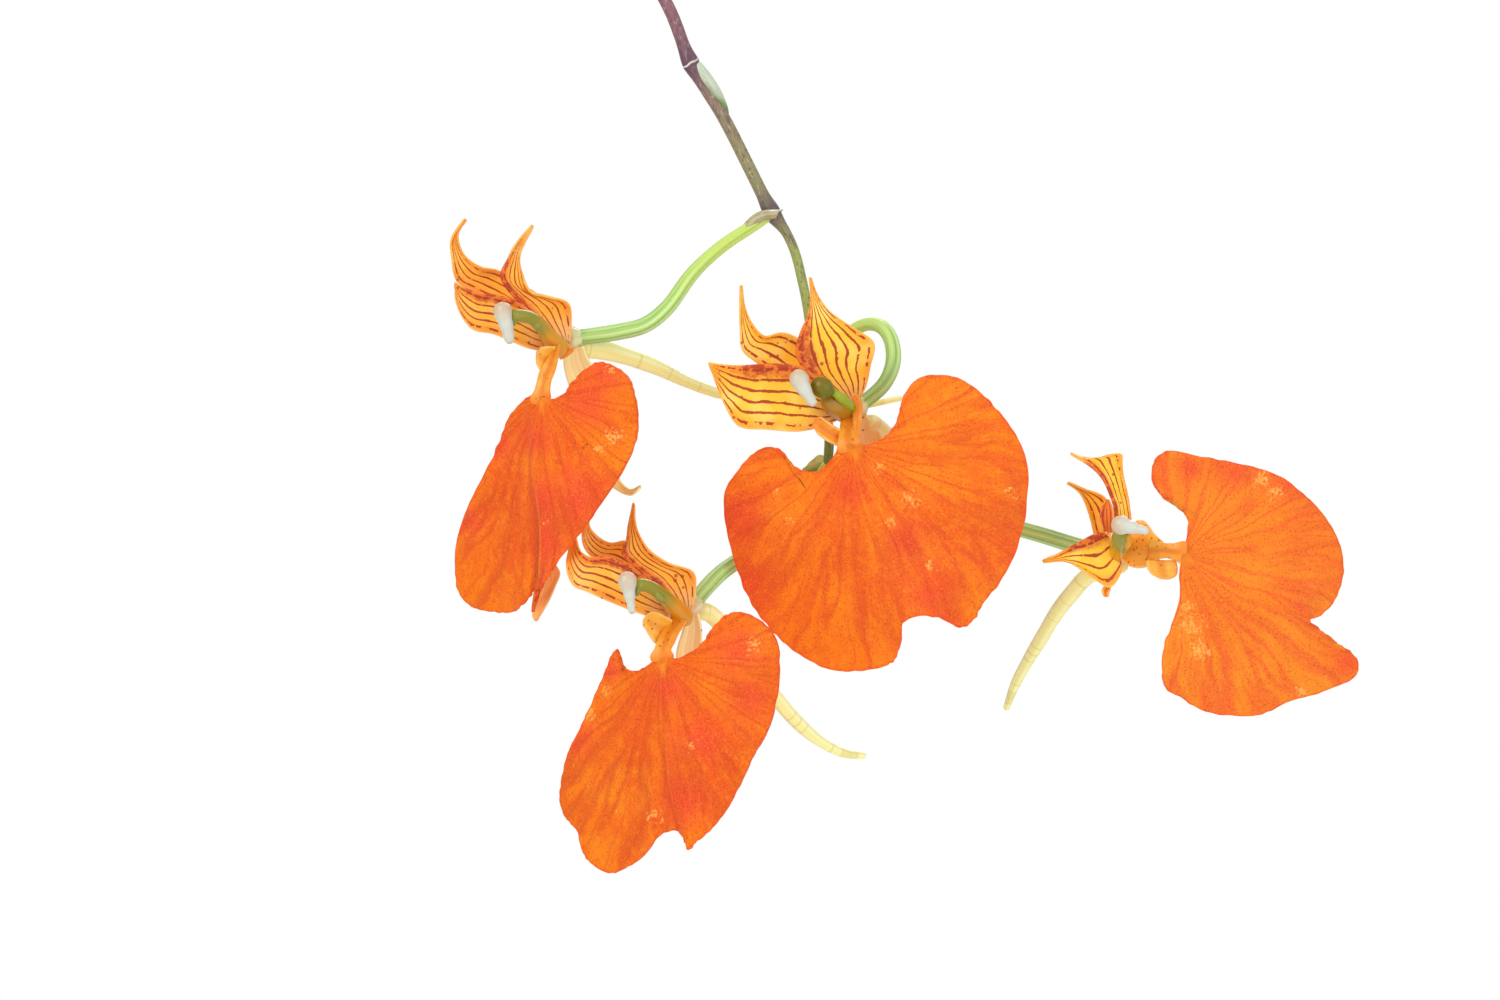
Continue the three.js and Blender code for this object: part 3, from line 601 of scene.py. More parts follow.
@dataclass
class Blade:
    """A petal, sepal, claw or bract, spread over rungs from its base to its tip.

    Its cup, ridge, wave and thickness are in millimetres.
    """

    name: str
    rungs: Sequence[Rung]
    finish: Material
    back: Material
    cup: float
    across: int
    along: int
    thickness: float
    ridge: float = 0.0
    wave: float = 0.0
    waves: float = 3.0
    seed: int = 1

    def surface(self, u: Shares, v: Shares) -> Points:
        """Finds points of the blade's middle surface.

        Args:
            u: Shares from the left edge to the right.
            v: Shares from base to tip.

        Returns:
            One point for each pair of shares.
        """
        rungs = np.array(self.rungs, float)
        left, right, depth = rungs[:, :2], rungs[:, 2:4], rungs[:, 4] * MM
        width = np.linalg.norm(left - right, axis=1)
        sag = self.cup * MM * width / width.max()
        one = smooth_run(seen(left, depth - sag), v)
        two = smooth_run(seen(right, depth - sag), v)
        dip = smooth_run(sag[:, None], v)[:, 0]
        broad = smooth_run(width[:, None], v)[:, 0] / width.max()
        points = one + (two - one) * u[:, None]
        side = 2 * u - 1
        ripple = np.sin(TURN * self.waves * v + self.seed + 2.1 * np.sign(side)) * side**4
        points[:, 1] += dip * 4 * u * (1 - u)
        points[:, 1] += MM * broad * (self.wave * ripple - self.ridge * hump(u - 0.5, 0.07))
        return points

    def build(self) -> Piece:
        """Models the blade as a thin closed sheet that faces the front.

        Returns:
            The closed sheet.
        """
        piece = lay_grid(self.name, self.across, self.along, self.surface)
        face_towards(piece, (0, -1, 0))
        thicken(piece, self.thickness)
        dress(piece, self.finish, self.back)
        return piece


# Paint


def linear(colour: Rgb) -> tuple[float, float, float, float]:
    """Turns a colour as shown on a screen, 0 to 255, to linear light.

    Args:
        colour: Red, green and blue.

    Returns:
        Red, green, blue and alpha, from 0 to 1.
    """
    shares = [channel / 255 for channel in colour]
    light = [s / 12.92 if s <= 0.04045 else ((s + 0.055) / 1.055) ** 2.4 for s in shares]
    return (*light, 1.0)


def worked(operation: str, reflected: bool = False) -> Callable[..., "Value"]:
    """Makes an operator that adds a Math node.

    Args:
        operation: What the node works out.
        reflected: Whether the value is its last term, and not its first.

    Returns:
        The operator, as a method of Value.
    """

    def operator(value: "Value", *others: "Value | float") -> "Value":
        """Adds the node to the value's paint.

        Args:
            value: The value itself.
            others: The other terms.

        Returns:
            The node's result.
        """
        return value.math(operation, *others, value) if reflected else value.math(operation, value, *others)

    return operator


class Value:
    """A shader socket that adds Math nodes for its arithmetic.

    Its part is what follows the point, and its whole is rounded down.
    """

    def __init__(self, paint: "Paint", socket: Socket) -> None:
        """Wraps a socket of a paint's node tree."""
        self.paint = paint
        self.socket = socket

    def math(self, operation: str, *terms: "Value | float") -> "Value":
        """Adds one Math node for these terms."""
        made = self.paint.node("ShaderNodeMath", {"operation": operation}, dict(enumerate(terms)))
        return Value(self.paint, made[0])

    __add__ = __radd__ = worked("ADD")
    __sub__, __rsub__ = worked("SUBTRACT"), worked("SUBTRACT", True)
    __mul__ = __rmul__ = worked("MULTIPLY")
    __truediv__, __rtruediv__ = worked("DIVIDE"), worked("DIVIDE", True)
    __pow__, __rpow__ = worked("POWER"), worked("POWER", True)
    __abs__, part, whole = worked("ABSOLUTE"), worked("FRACT"), worked("FLOOR")

    def ease(self, low: float, high: float) -> "Value":
        """Rises smoothly from 0 at low to 1 at high, or falls where low is the larger.

        Args:
            low: Where it is 0.
            high: Where it is 1.

        Returns:
            The eased value.
        """
        sockets = {"Value": self, "From Min": min(low, high), "From Max": max(low, high)}
        made = self.paint.node("ShaderNodeMapRange", {"interpolation_type": "SMOOTHSTEP"}, sockets)
        eased = Value(self.paint, made[0])
        return 1 - eased if low > high else eased


Input = Value | float | tuple | Socket


class Paint:
    """One procedural material: its nodes, and the colour that is laid on it so far."""

    MIX_FACTOR, MIX_FIRST, MIX_SECOND, MIX_RESULT = 0, 6, 7, 2

    def __init__(self, name: str, ground: Rgb = (255, 255, 255)) -> None:
        """Starts an empty material with the colour that the others go over.

        Args:
            name: The material's name.
            ground: The lowest colour.
        """
        self.material = bpy.data.materials.new(name)
        self.material.use_nodes = True
        self.tree = self.material.node_tree
        self.tree.nodes.clear()
        self.colour: Input = linear(ground)

    def node(self, kind: str, settings: dict, sockets: dict[str | int, Input]) -> list:
        """Adds a node.

        Args:
            kind: The node's type.
            settings: Its properties, set first.
            sockets: Values or links of its inputs, by name or number.

        Returns:
            Its outputs.
        """
        made = self.tree.nodes.new(kind)
        for name, value in settings.items():
            setattr(made, name, value)
        for key, value in sockets.items():
            source = value.socket if isinstance(value, Value) else value
            if isinstance(source, Socket):
                self.tree.links.new(source, made.inputs[key])
            else:
                made.inputs[key].default_value = source
        return list(made.outputs)

    @cached_property
    def point(self) -> Socket:
        """The point in object coordinates."""
        return self.node("ShaderNodeTexCoord", {}, {})[3]

    @cached_property
    def shares(self) -> tuple[Value, Value]:
        """The shares across and along the piece."""
        return self.pair("Shares")

    def axes(self, vector: Input) -> tuple[Value, Value, Value]:
        """Splits a vector in its three numbers."""
        return tuple(Value(self, out) for out in self.node("ShaderNodeSeparateXYZ", {}, {0: vector}))

    def pair(self, name: str) -> tuple[Value, Value]:
        """Gives the two numbers of a UV map."""
        return self.axes(self.node("ShaderNodeUVMap", {"uv_map": name}, {})[0])[:2]

    def attribute(self, name: str) -> Value:
        """Gives a number that the mesh holds."""
        return Value(self, self.node("ShaderNodeAttribute", {"attribute_name": name}, {})[2])

    def stretch(self, up: float) -> Socket:
        """Gives the point with its height multiplied."""
        sockets = {0: self.point, 1: (1.0, 1.0, up)}
        return self.node("ShaderNodeVectorMath", {"operation": "MULTIPLY"}, sockets)[0]

    def noise(self, scale: float, detail: float = 2.0, roughness: float = 0.5,
              at: Socket | None = None) -> Value:
        """Adds cloudy noise.

        Args:
            scale: Clouds in one unit of where it is read.
            detail: Octaves of finer noise.
            roughness: How strong the finer octaves are.
            at: Where it is read, or else at the point in object coordinates.

        Returns:
            A value from 0 to 1, about 0.5 on average.
        """
        place = self.point if at is None else at
        sockets = {"Vector": place, "Scale": scale, "Detail": detail, "Roughness": roughness}
        return Value(self, self.node("ShaderNodeTexNoise", {}, sockets)[0])

    def flow(self, x: Input, y: Input, z: Input, detail: float = 2.0) -> Value:
        """Adds noise that is read at three numbers, so that it can follow the piece."""
        return self.noise(1.0, detail, at=self.node("ShaderNodeCombineXYZ", {}, {0: x, 1: y, 2: z})[0])

    def dots(self, scale: float, radius: float, kept: float) -> Value:
        """Adds scattered round dots.

        Args:
            scale: Cells in one metre.
            radius: A dot's radius, as a share of a cell.
            kept: The share of cells that hold a dot.

        Returns:
            1 in a dot and 0 outside it.
        """
        out = self.node("ShaderNodeTexVoronoi", {}, {"Vector": self.point, "Scale": scale})
        chance, size, _ = self.axes(out[1])
        spot = Value(self, out[0]) - radius * 0.6 * size
        return spot.ease(radius, radius * 0.5) * chance.ease(kept + 0.02, kept)

    def mix(self, factor: Input, first: Input, second: Input, mode: str = "MIX") -> Socket:
        """Mixes two colours.

        Args:
            factor: How much of the second colour.
            first: The colour underneath.
            second: The colour on top.
            mode: How the second acts on the first.

        Returns:
            The mixed colour.
        """
        settings = {"data_type": "RGBA", "blend_type": mode, "clamp_factor": True}
        sockets = {self.MIX_FACTOR: factor, self.MIX_FIRST: first, self.MIX_SECOND: second}
        return self.node("ShaderNodeMix", settings, sockets)[self.MIX_RESULT]

    def over(self, mask: Input, colour: Rgb | Socket, mode: str = "MIX") -> None:
        """Lays one more colour over those so far, as far as a mask lets it show."""
        top = linear(colour) if isinstance(colour, tuple) else colour
        self.colour = self.mix(mask, self.colour, top, mode)

    def done(self, roughness: Input, relief: Value | None = None, depth: float = 0.0,
             **constants: float | tuple) -> Material:
        """Ends the material with its shader.

        Args:
            roughness: Its roughness.
            relief: The height of its bumps, from 0 to 1, where it has any.
            depth: How deep they are, in millimetres.
            constants: Other inputs of the shader, with spaces in their names as underscores.

        Returns:
            The finished material.
        """
        sockets: dict[str | int, Input] = {"Base Color": self.colour, "Roughness": roughness}
        sockets |= {name.replace("_", " "): value for name, value in constants.items()}
        if relief is not None:
            bump = {"Distance": depth * MM, "Height": relief}
            sockets["Normal"] = self.node("ShaderNodeBump", {}, bump)[0]
        shader = self.node("ShaderNodeBsdfPrincipled", {}, sockets)[0]
        self.node("ShaderNodeOutputMaterial", {}, {"Surface": shader})
        return self.material


FLESH = {
    "Subsurface_Weight": 0.25,
    "Subsurface_Radius": (1.0, 0.45, 0.15),
    "Subsurface_Scale": 0.5 * MM,
}


@dataclass(frozen=True)
class PetalFinish:
    """Yellow-orange skin with red-brown stripes from base to tip, a blotch and small dots."""

    name: str
    stripes: int
    blotched: bool = True
    ground: Rgb = (255, 198, 52)
    rim: Rgb = (250, 156, 40)
    base: Rgb = (255, 216, 152)
    pale: Rgb = (255, 222, 118)
    stripe: Rgb = (172, 46, 18)
    wash: Rgb = (222, 100, 16)
    hem: Rgb = (255, 206, 104)
    strength: float = 0.95

    def paint(self) -> Material:
        """Paints the finish.

        Returns:
            The material.
        """
        paint = Paint(self.name, self.ground)
        across, along = paint.shares
        drift = paint.noise(480) - 0.5
        fine = paint.noise(3400) - 0.5
        margin = abs(across - 0.5)
        lane = (across + drift * 0.08 + fine * (margin * 0.05 + 0.015)) * self.stripes
        own = paint.flow(lane.whole() * 7.3, along * 9, 2.0, 3)
        half = own * 0.22 + along * 0.05 + 0.004 * self.stripes - 0.008
        line = ((half - abs(lane.part() - 0.5)) / 0.05).ease(0, 1)
        gaps = paint.flow(lane.whole() * 3.1, along * 22, 7.0, 1)
        broken = gaps - margin.ease(0.25, 0.5) * 0.24
        run = along.ease(0.0, 0.06) * along.ease(0.96, 0.84)
        tone = paint.noise(260)
        paint.over(margin.ease(0.22, 0.46) * 0.75, self.rim)
        paint.over(along.ease(0.26, 0.0) * 0.85, self.base)
        paint.over(along.ease(0.62, 0.95) * 0.7, self.rim)
        paint.over(tone.ease(0.5, 0.75) * 0.3, self.rim)
        paint.over(tone.ease(0.48, 0.3) * 0.55, self.pale)
        paint.over(margin.ease(0.475, 0.5) * 0.6, self.hem)
        marks = line * broken.ease(0.27, 0.33) * run
        if self.blotched:
            zone = (across + drift * 0.1).ease(0.3, 0.1) * along.ease(0.08, 0.24) * along.ease(0.88, 0.6)
            clumps = paint.noise(1050, 3, 0.6, paint.stretch(1.3)).ease(0.47, 0.56)
            paint.over(zone * 0.8, self.wash)
            marks = marks + zone * clumps * 0.85
        marks = marks + paint.dots(1150, 0.2, 0.15) * run * 0.8
        paint.over(marks.math("MINIMUM", marks, 1.0) * self.strength, self.stripe)
        grain = paint.mix(paint.noise(4600), (0.5, 0.5, 0.5, 1), (1.4, 1.4, 1.4, 1))
        paint.over(0.22, grain, "MULTIPLY")
        relief = paint.noise(2600, 3) * 0.5 + line * 0.5
        return paint.done(0.5, relief, 0.03, Specular_IOR_Level=0.35, **FLESH)


@dataclass(frozen=True)
class LipFinish:
    """Orange velvet: soft furrows that fan out from the claw, fine grain and a few scuffs. It also has a
    painted glow, reddish patches that are partly its own colour and partly painted sheen and shade, and
    painted shade and a painted highlight along the seam between the lobes.
    """

    name: str
    warm: Rgb = (242, 122, 14)
    deep: Rgb = (229, 93, 22)
    bright: Rgb = (247, 148, 24)
    # painted glow: the lip painted lighter, as if light shone through it
    painted_glow: Rgb = (252, 152, 46)
    furrow: Rgb = (204, 66, 28)
    # reddish pink: partly the lip's own colour, partly painted sheen and shade
    flush_and_sheen: Rgb = (233, 76, 46)
    rim: Rgb = (220, 82, 34)
    callus: Rgb = (250, 140, 38)
    scuff: Rgb = (246, 184, 92)
    speck: Rgb = (188, 54, 24)
    sheen: Rgb = (255, 132, 116)
    furrows: float = 0.5

    def paint(self) -> Material:
        """Paints the finish.

        Returns:
            The material.
        """
        paint = Paint(self.name, self.deep)
        turn, reach = paint.pair("Veins")
        outward = paint.shares[1]
        painted_glow, flush_and_sheen, aside, mark = map(paint.attribute, ("PaintedGlow", "FlushAndSheen", "Aside", "SeamShading"))
        fan = turn + (paint.noise(105, 3) - 0.5) * 0.24
        cloud = paint.noise(150, 4, 0.6)
        mottle = paint.noise(800, 3, 0.65)
        fine = paint.noise(4400, 2, 0.6)
        furrow = abs(paint.flow(fan * 5.0, reach * 0.5, 6.0, 1) - 0.5).ease(0.085, 0.0)
        fork = abs(paint.flow(fan * 12, reach * 0.7, 4.0) - 0.5).ease(0.07, 0.0) * reach.ease(0.5, 1.4)
        paint.over(paint.flow(fan * 2.4, reach * 0.5, 1.0).ease(0.36, 0.64), self.warm)
        paint.over(cloud.ease(0.5, 0.68) * 0.5, self.bright)
        paint.over(mottle.ease(0.48, 0.66) * 0.35, self.bright)
        paint.over(mottle.ease(0.46, 0.3) * 0.3, self.deep)
        paint.over(reach.ease(1.0, 0.25) * 0.55, self.deep)
        # painted glow, as strong as the bloom's own setting
        paint.over(painted_glow * (cloud + 0.5), self.painted_glow)
        # reddish spots, partly the lip's own colour and partly painted sheen and shade
        paint.over(flush_and_sheen * (cloud * 0.6 + 0.5), self.flush_and_sheen)
        vein = paint.mix(painted_glow * 1.6, linear(self.furrow), linear(self.flush_and_sheen))
        paint.over(fork * self.furrows * 0.6, vein)
        paint.over(furrow * self.furrows * (cloud + 0.4), vein)
        paint.over(outward.ease(0.965, 1.0) * 0.5, self.rim)
        # Painted shading along the seam where one lobe stands before the other: a reddish band on the front
        # lobe, painted shade beside it on the lobe behind, and a painted highlight along the front lobe's
        # edge.
        paint.over(aside.ease(0.0, 0.25) * aside.ease(2.6, 0.4) * mark * 0.7, self.flush_and_sheen)
        paint.over(aside.ease(-0.9, -0.1) * aside.ease(0.06, -0.02) * mark * 0.6, self.furrow)
        paint.over(abs(aside - 0.16).ease(0.11, 0.03) * mark * 0.45, self.bright)
        paint.over(fine.ease(0.46, 0.34) * 0.5, self.speck)
        paint.over(fine.ease(0.57, 0.68) * 0.4, self.bright)
        fingers = paint.flow(turn * 6, 0.0, 3.0, 1) - 0.5
        wedge = reach.ease(0.27, 0.08) * abs(turn).ease(0.3, 0.06)
        paint.over(wedge * 0.8 + (reach + fingers * 0.14).ease(0.17, 0.03), self.callus)
        dash = paint.flow(fan * 34, reach * 7, 2.0)
        rubbed = paint.attribute("Scuff") * 0.4 + paint.noise(2600, 4, 0.7) * 1.2 + dash * 0.6
        worn = dash.ease(0.67, 0.75) * cloud.ease(0.5, 0.66) * 0.5 + rubbed.ease(1.16, 1.4) * 0.8
        paint.over(worn, self.scuff)
        relief = fine * 0.35 + mottle * 0.35 + (1 - furrow) * 0.4
        return paint.done(
            0.68, relief, 0.07, Sheen_Weight=0.3, Sheen_Roughness=0.45, Sheen_Tint=linear(self.sheen),
            Specular_IOR_Level=0.16, **FLESH,
        )


@dataclass(frozen=True)
class ClawFinish:
    """Golden flesh of the claw and side lobes: painted shade down the middle, painted highlights along the
    edges, and dots.
    """

    name: str
    gold: Rgb = (236, 146, 28)
    bright: Rgb = (248, 178, 70)
    # deep: painted shade down the middle of the channel
    deep: Rgb = (216, 112, 18)
    # edge: painted highlight along both edges
    edge: Rgb = (252, 196, 112)
    far: Rgb = (250, 138, 38)
    dot: Rgb = (150, 62, 22)
    dotted: float = 0.2

    def paint(self) -> Material:
        """Paints the finish.

        Returns:
            The material.
        """
        paint = Paint(self.name, self.gold)
        across, along = paint.shares
        tone = paint.noise(520, 3) - 0.5
        edge = abs(across - 0.5)
        paint.over((tone + 0.5).ease(0.4, 0.7) * 0.6, self.bright)
        # painted shade down the middle of the channel
        paint.over((edge + tone * 0.2).ease(0.26, 0.04) * 0.7, self.deep)
        # painted highlight along both edges, fading towards the far end
        paint.over(edge.ease(0.42, 0.49) * along.ease(0.95, 0.7) * 0.75, self.edge)
        paint.over(along.ease(0.65, 0.92), self.far)
        paint.over(paint.dots(2100, 0.24, self.dotted) * 0.7, self.dot)
        return paint.done(0.42, paint.noise(2400, 3), 0.03, Specular_IOR_Level=0.4, **FLESH)


@dataclass(frozen=True)
class StripedFlesh:
    """Smooth flesh with soft lines along it and painted highlights on the ridges between them: a pedicel, a
    spur or the limb behind a lip.
    """

    name: str
    near: Rgb
    far: Rgb
    line: Rgb
    lines: int
    line_share: float
    # ridge: painted highlight on the ridges between the lines
    ridge: Rgb
    lines_from: float = -1.0
    under: Rgb | None = None
    dot: Rgb | None = None
    rings: Rgb | None = None

    def paint(self) -> Material:
        """Paints the finish.

        Returns:
            The material.
        """
        paint = Paint(self.name, self.near)
        across, along = paint.shares
        drift = paint.noise(300) - 0.5
        lane = (across + drift * 0.04) * self.lines
        ribbon = abs(lane.part() - 0.5)
        paint.over((along + drift * 0.3).ease(0.1, 0.9), self.far)
        if self.under is not None:
            paint.over(abs(across - 0.5).ease(0.32, 0.14) * 0.8, self.under)
        own = paint.flow(lane.whole() * 3.7, along * 5, 1.0)
        shown = along.ease(self.lines_from, self.lines_from + 0.4)
        paint.over(ribbon.ease(0.2, 0.02) * own * shown * 2 * self.line_share, self.line)
        # painted highlights along the ridges between the lines
        paint.over(ribbon.ease(0.3, 0.5) * shown * 0.5, self.ridge)
        if self.rings is not None:
            band = paint.flow(along * 5, 0.0, 5.0, 1)
            paint.over(abs(band - 0.5).ease(0.014, 0.0) * 0.45, self.rings)
        if self.dot is not None:
            paint.over(paint.dots(1300, 0.16, 0.06) * 0.85, self.dot)
        return paint.done(0.42, ribbon.ease(0.0, 0.4), 0.02, Specular_IOR_Level=0.4)


@dataclass(frozen=True)
class ColumnFinish:
    """Glossy flesh of the column: olive or green above, golden towards its foot."""

    name: str
    tip: Rgb
    back: Rgb
    foot: Rgb
    gloss: float = 0.25

    def paint(self) -> Material:
        """Paints the finish.

        Returns:
            The material.
        """
        paint = Paint(self.name, self.foot)
        across, along = paint.shares
        cloud = paint.noise(420) - 0.5
        paint.over((along + cloud * 0.4).ease(0.35, 0.75), self.tip)
        paint.over((abs(across - 0.5) + cloud * 0.2).ease(0.3, 0.46) * 0.6, self.back)
        return paint.done(
            0.3, paint.noise(1500), 0.02, Specular_IOR_Level=0.2 + self.gloss, Coat_Weight=self.gloss,
            Coat_Roughness=0.12, **FLESH,
        )


@dataclass(frozen=True)
class WaxFinish:
    """The waxy anther cap: a beige head, greyer along the rest of the cap, and a browned beak."""

    name: str
    cream: Rgb = (204, 182, 152)
    white: Rgb = (208, 210, 198)
    beak: Rgb = (180, 152, 120)

    def paint(self) -> Material:
        """Paints the finish.

        Returns:
            The material.
        """
        paint = Paint(self.name, self.cream)
        along = paint.shares[1]
        cloud = paint.noise(500) - 0.5
        paint.over((along + cloud * 0.4).ease(0.1, 0.55), self.white)
        paint.over((along + cloud * 0.1).ease(0.93, 1.0) * 0.6, self.beak)
        return paint.done(
            0.34, Specular_IOR_Level=0.45, Subsurface_Weight=0.4, Subsurface_Radius=(1.0, 0.9, 0.8),
            Subsurface_Scale=0.6 * MM,
        )


@dataclass(frozen=True)
class SpikeFinish:
    """The stalk: purple-brown where it is old, olive and then green towards its end."""

    name: str
    first_node: float
    second_node: float
    old: Rgb = (136, 92, 100)
    middle: Rgb = (140, 134, 92)
    young: Rgb = (150, 164, 84)
    last: Rgb = (104, 132, 62)
    dark: Rgb = (84, 56, 68)
    scurf: Rgb = (206, 196, 182)
    node: Rgb = (84, 62, 78)

    def paint(self) -> Material:
        """Paints the finish.

        Returns:
            The material.
        """
        paint = Paint(self.name, self.old)
        across, along = paint.shares
        share = along + (paint.noise(160, 3) - 0.5) * 0.02
        first, second = self.first_node, self.second_node
        step = second - first
        paint.over(share.ease(first - 0.1 * step, first + 0.7 * step), self.middle)
        paint.over(share.ease(second, second + 0.35 * step), self.young)
        paint.over(share.ease(second + step, 1.0), self.last)
        streak = paint.flow(across * 8, along * 170, 3.0, 3)
        patchy = paint.flow(across * 1.5, along * 34, 5.0).ease(0.35, 0.6)
        old_part = along.ease(second + 0.8 * step, second)
        paint.over(streak.ease(0.48, 0.66) * patchy * old_part * 0.75, self.dark)
        paint.over(paint.noise(3400, at=paint.stretch(0.45)).ease(0.56, 0.7) * 0.6, self.dark)
        paint.over(paint.flow(across * 22, along * 380, 8.0).ease(0.57, 0.7) * 0.45, self.scurf)
        paint.over(paint.attribute("Node") * 0.85, self.node)
        relief = streak * 0.6 + paint.noise(1800, 3) * 0.4
        return paint.done(0.5, relief, 0.04, Specular_IOR_Level=0.4)


@dataclass(frozen=True)
class LeafFinish:
    """Leathery green with a pale midrib and fine veins along the blade."""

    name: str
    green: Rgb = (72, 112, 44)
    dark: Rgb = (48, 84, 34)
    rib: Rgb = (132, 160, 82)
    tip: Rgb = (134, 132, 62)
    roughness: float = 0.4

    def paint(self) -> Material:
        """Paints the finish.

        Returns:
            The material.
        """
        paint = Paint(self.name, self.green)
        across, along = paint.shares
        cloud = paint.noise(45, 4)
        lines = paint.flow(across * 46, along * 2.2, 2.0)
        cells = paint.flow(across * 90, along * 90, 4.0, 3)
        off_rib = abs(across - 0.5)
        paint.over(cloud.ease(0.35, 0.7), self.dark)
        paint.over(lines.ease(0.5, 0.75) * 0.45, self.rib)
        paint.over(cells.ease(0.55, 0.75) * 0.25, self.dark)
        paint.over(off_rib.ease(0.022, 0.006) * 0.6, self.rib)
        paint.over((along + (cloud - 0.5) * 0.1).ease(0.95, 1.0) * 0.8, self.tip)
        relief = lines * 0.55 + cells * 0.25 + off_rib.ease(0.0, 0.03) * 0.6
        rough = cloud * 0.15 + (self.roughness - 0.07)
        return paint.done(
            rough, relief, 0.16, Specular_IOR_Level=0.5, Coat_Weight=0.08, Coat_Roughness=0.35,
        )


@dataclass(frozen=True)
class BulbFinish:
    """Smooth green pseudobulbs with shallow paler ribs, browner towards the foot."""

    name: str
    green: Rgb = (112, 142, 58)
    pale: Rgb = (164, 172, 96)
    blush: Rgb = (112, 86, 62)

    def paint(self) -> Material:
        """Paints the finish.

        Returns:
            The material.
        """
        paint = Paint(self.name, self.green)
        across, along = paint.shares
        cloud = paint.noise(90, 4)
        ribs = paint.flow(across * 34, along * 1.8, 2.0)
        paint.over(cloud.ease(0.3, 0.7), self.pale)
        paint.over(ribs.ease(0.5, 0.72) * 0.4, self.pale)
        paint.over(along.ease(0.3, 0.0) * 0.6, self.blush)
        return paint.done(0.38, ribs * 0.6 + cloud * 0.3, 0.2, Specular_IOR_Level=0.5)


@dataclass(frozen=True)
class PaperFinish:
    """Thin dry or living sheath and bract skin with parallel veins."""

    name: str
    pale: Rgb = (206, 190, 150)
    shade: Rgb = (150, 122, 84)
    vein: Rgb = (128, 98, 66)
    veins: float = 26.0
    greens: float = 0.0

    def paint(self) -> Material:
        """Paints the finish.

        Returns:
            The material.
        """
        paint = Paint(self.name, self.pale)
        across, along = paint.shares
        cloud = paint.noise(240, 4)
        lines = paint.flow(across * self.veins, along * 1.6, 3.0)
        shaded = cloud.ease(0.35, 0.7)
        if self.greens:
            shaded = (along - across * self.greens + (cloud - 0.5) * 0.6).ease(0.1, 0.5)
        paint.over(shaded, self.shade)
        paint.over(lines.ease(0.52, 0.7) * 0.5, self.vein)
        paint.over(along.ease(0.8, 1.0) * 0.5, self.shade)
        return paint.done(
            0.62, lines * 0.7 + cloud * 0.4, 0.06, Subsurface_Weight=0.2,
            Subsurface_Radius=(1.0, 0.8, 0.5), Subsurface_Scale=0.5 * MM,
        )


@dataclass(frozen=True)
class RootFinish:
    """Silvery root skin, green where it is young."""

    name: str
    silver: Rgb = (188, 190, 174)
    green: Rgb = (128, 150, 92)
    brown: Rgb = (132, 112, 84)

    def paint(self) -> Material:
        """Paints the finish.

        Returns:
            The material.
        """
        paint = Paint(self.name, self.silver)
        cloud = paint.noise(210, 4, 0.6)
        fine = paint.noise(1500, 3)
        paint.over(cloud.ease(0.45, 0.62) * 0.8, self.green)
        paint.over(fine.ease(0.56, 0.72) * 0.5, self.brown)
        return paint.done(0.8, fine + cloud * 0.5, 0.16)


@dataclass(frozen=True)
class BarkFinish:
    """Damp bark in plates, from dark brown to grey-tan."""

    name: str
    dark: Rgb = (66, 44, 32)
    warm: Rgb = (112, 74, 48)
    grey: Rgb = (146, 122, 98)

    def paint(self) -> Material:
        """Paints the finish.

        Returns:
            The material.
        """
        paint = Paint(self.name, self.dark)
        chip = paint.attribute("Chip")
        cloud = paint.noise(120, 5, 0.65)
        plates = paint.noise(380, 4, 0.6, paint.stretch(4.0))
        fine = paint.noise(2200, 4)
        paint.over((cloud * 0.6 + chip * 0.5).ease(0.25, 0.8), self.warm)
        paint.over(plates.ease(0.52, 0.7) * (chip * 0.8), self.grey)
        paint.over(fine.ease(0.55, 0.4) * 0.5, self.dark)
        return paint.done(cloud * 0.3 + 0.6, plates * 0.7 + fine * 0.3, 0.7)


@dataclass(frozen=True)
class TerracottaFinish:
    """Fired clay with a dusty bloom of lime, damp marks and fine grain."""

    name: str
    clay: Rgb = (186, 104, 72)
    burnt: Rgb = (158, 82, 56)
    lime: Rgb = (218, 186, 164)
    damp: Rgb = (128, 72, 52)

    def paint(self) -> Material:
        """Paints the finish.

        Returns:
            The material.
        """
        paint = Paint(self.name, self.clay)
        height = paint.axes(paint.point)[2]
        cloud = paint.noise(26, 5, 0.6)
        bloom = paint.noise(70, 6, 0.7, paint.stretch(0.6))
        grain = paint.noise(1400, 4, 0.7)
        turned = paint.flow(0.0, 0.0, height * 420, 3)
        paint.over(cloud.ease(0.35, 0.65), self.burnt)
        paint.over((bloom + height.ease(0.05, 0.0) * 0.3).ease(0.52, 0.78) * 0.6, self.lime)
        paint.over((cloud + height.ease(0.03, 0.0) * 0.3).ease(0.62, 0.8) * 0.5, self.damp)
        paint.over(grain.ease(0.6, 0.75) * 0.35, self.lime)
        paint.over(grain.ease(0.4, 0.28) * 0.35, self.damp)
        relief = grain * 0.35 + turned * 0.5 + bloom * 0.3
        return paint.done(0.88, relief, 0.35, Specular_IOR_Level=0.3)


# The blooms' outlines, as seen from the front


class Hue(Enum):
    """The colours of a column's strands."""

    OLIVE = "olive"
    GREEN = "green"
    LIME = "lime"
    GOLD = "gold"
    DARK = "dark"


@dataclass(frozen=True)
class Strand:
    """One round part of a column: its route in the front view, and its radii in millimetres."""

    stops: tuple[Stop, ...]
    radii: tuple[float, ...]
    hue: Hue = Hue.OLIVE


@dataclass(frozen=True)
class Lobe:
    """One lobe of a lip: its middle, and its edge from the claw round to the notch or back."""

    centre: Pair
    edge: tuple[Pair, ...]


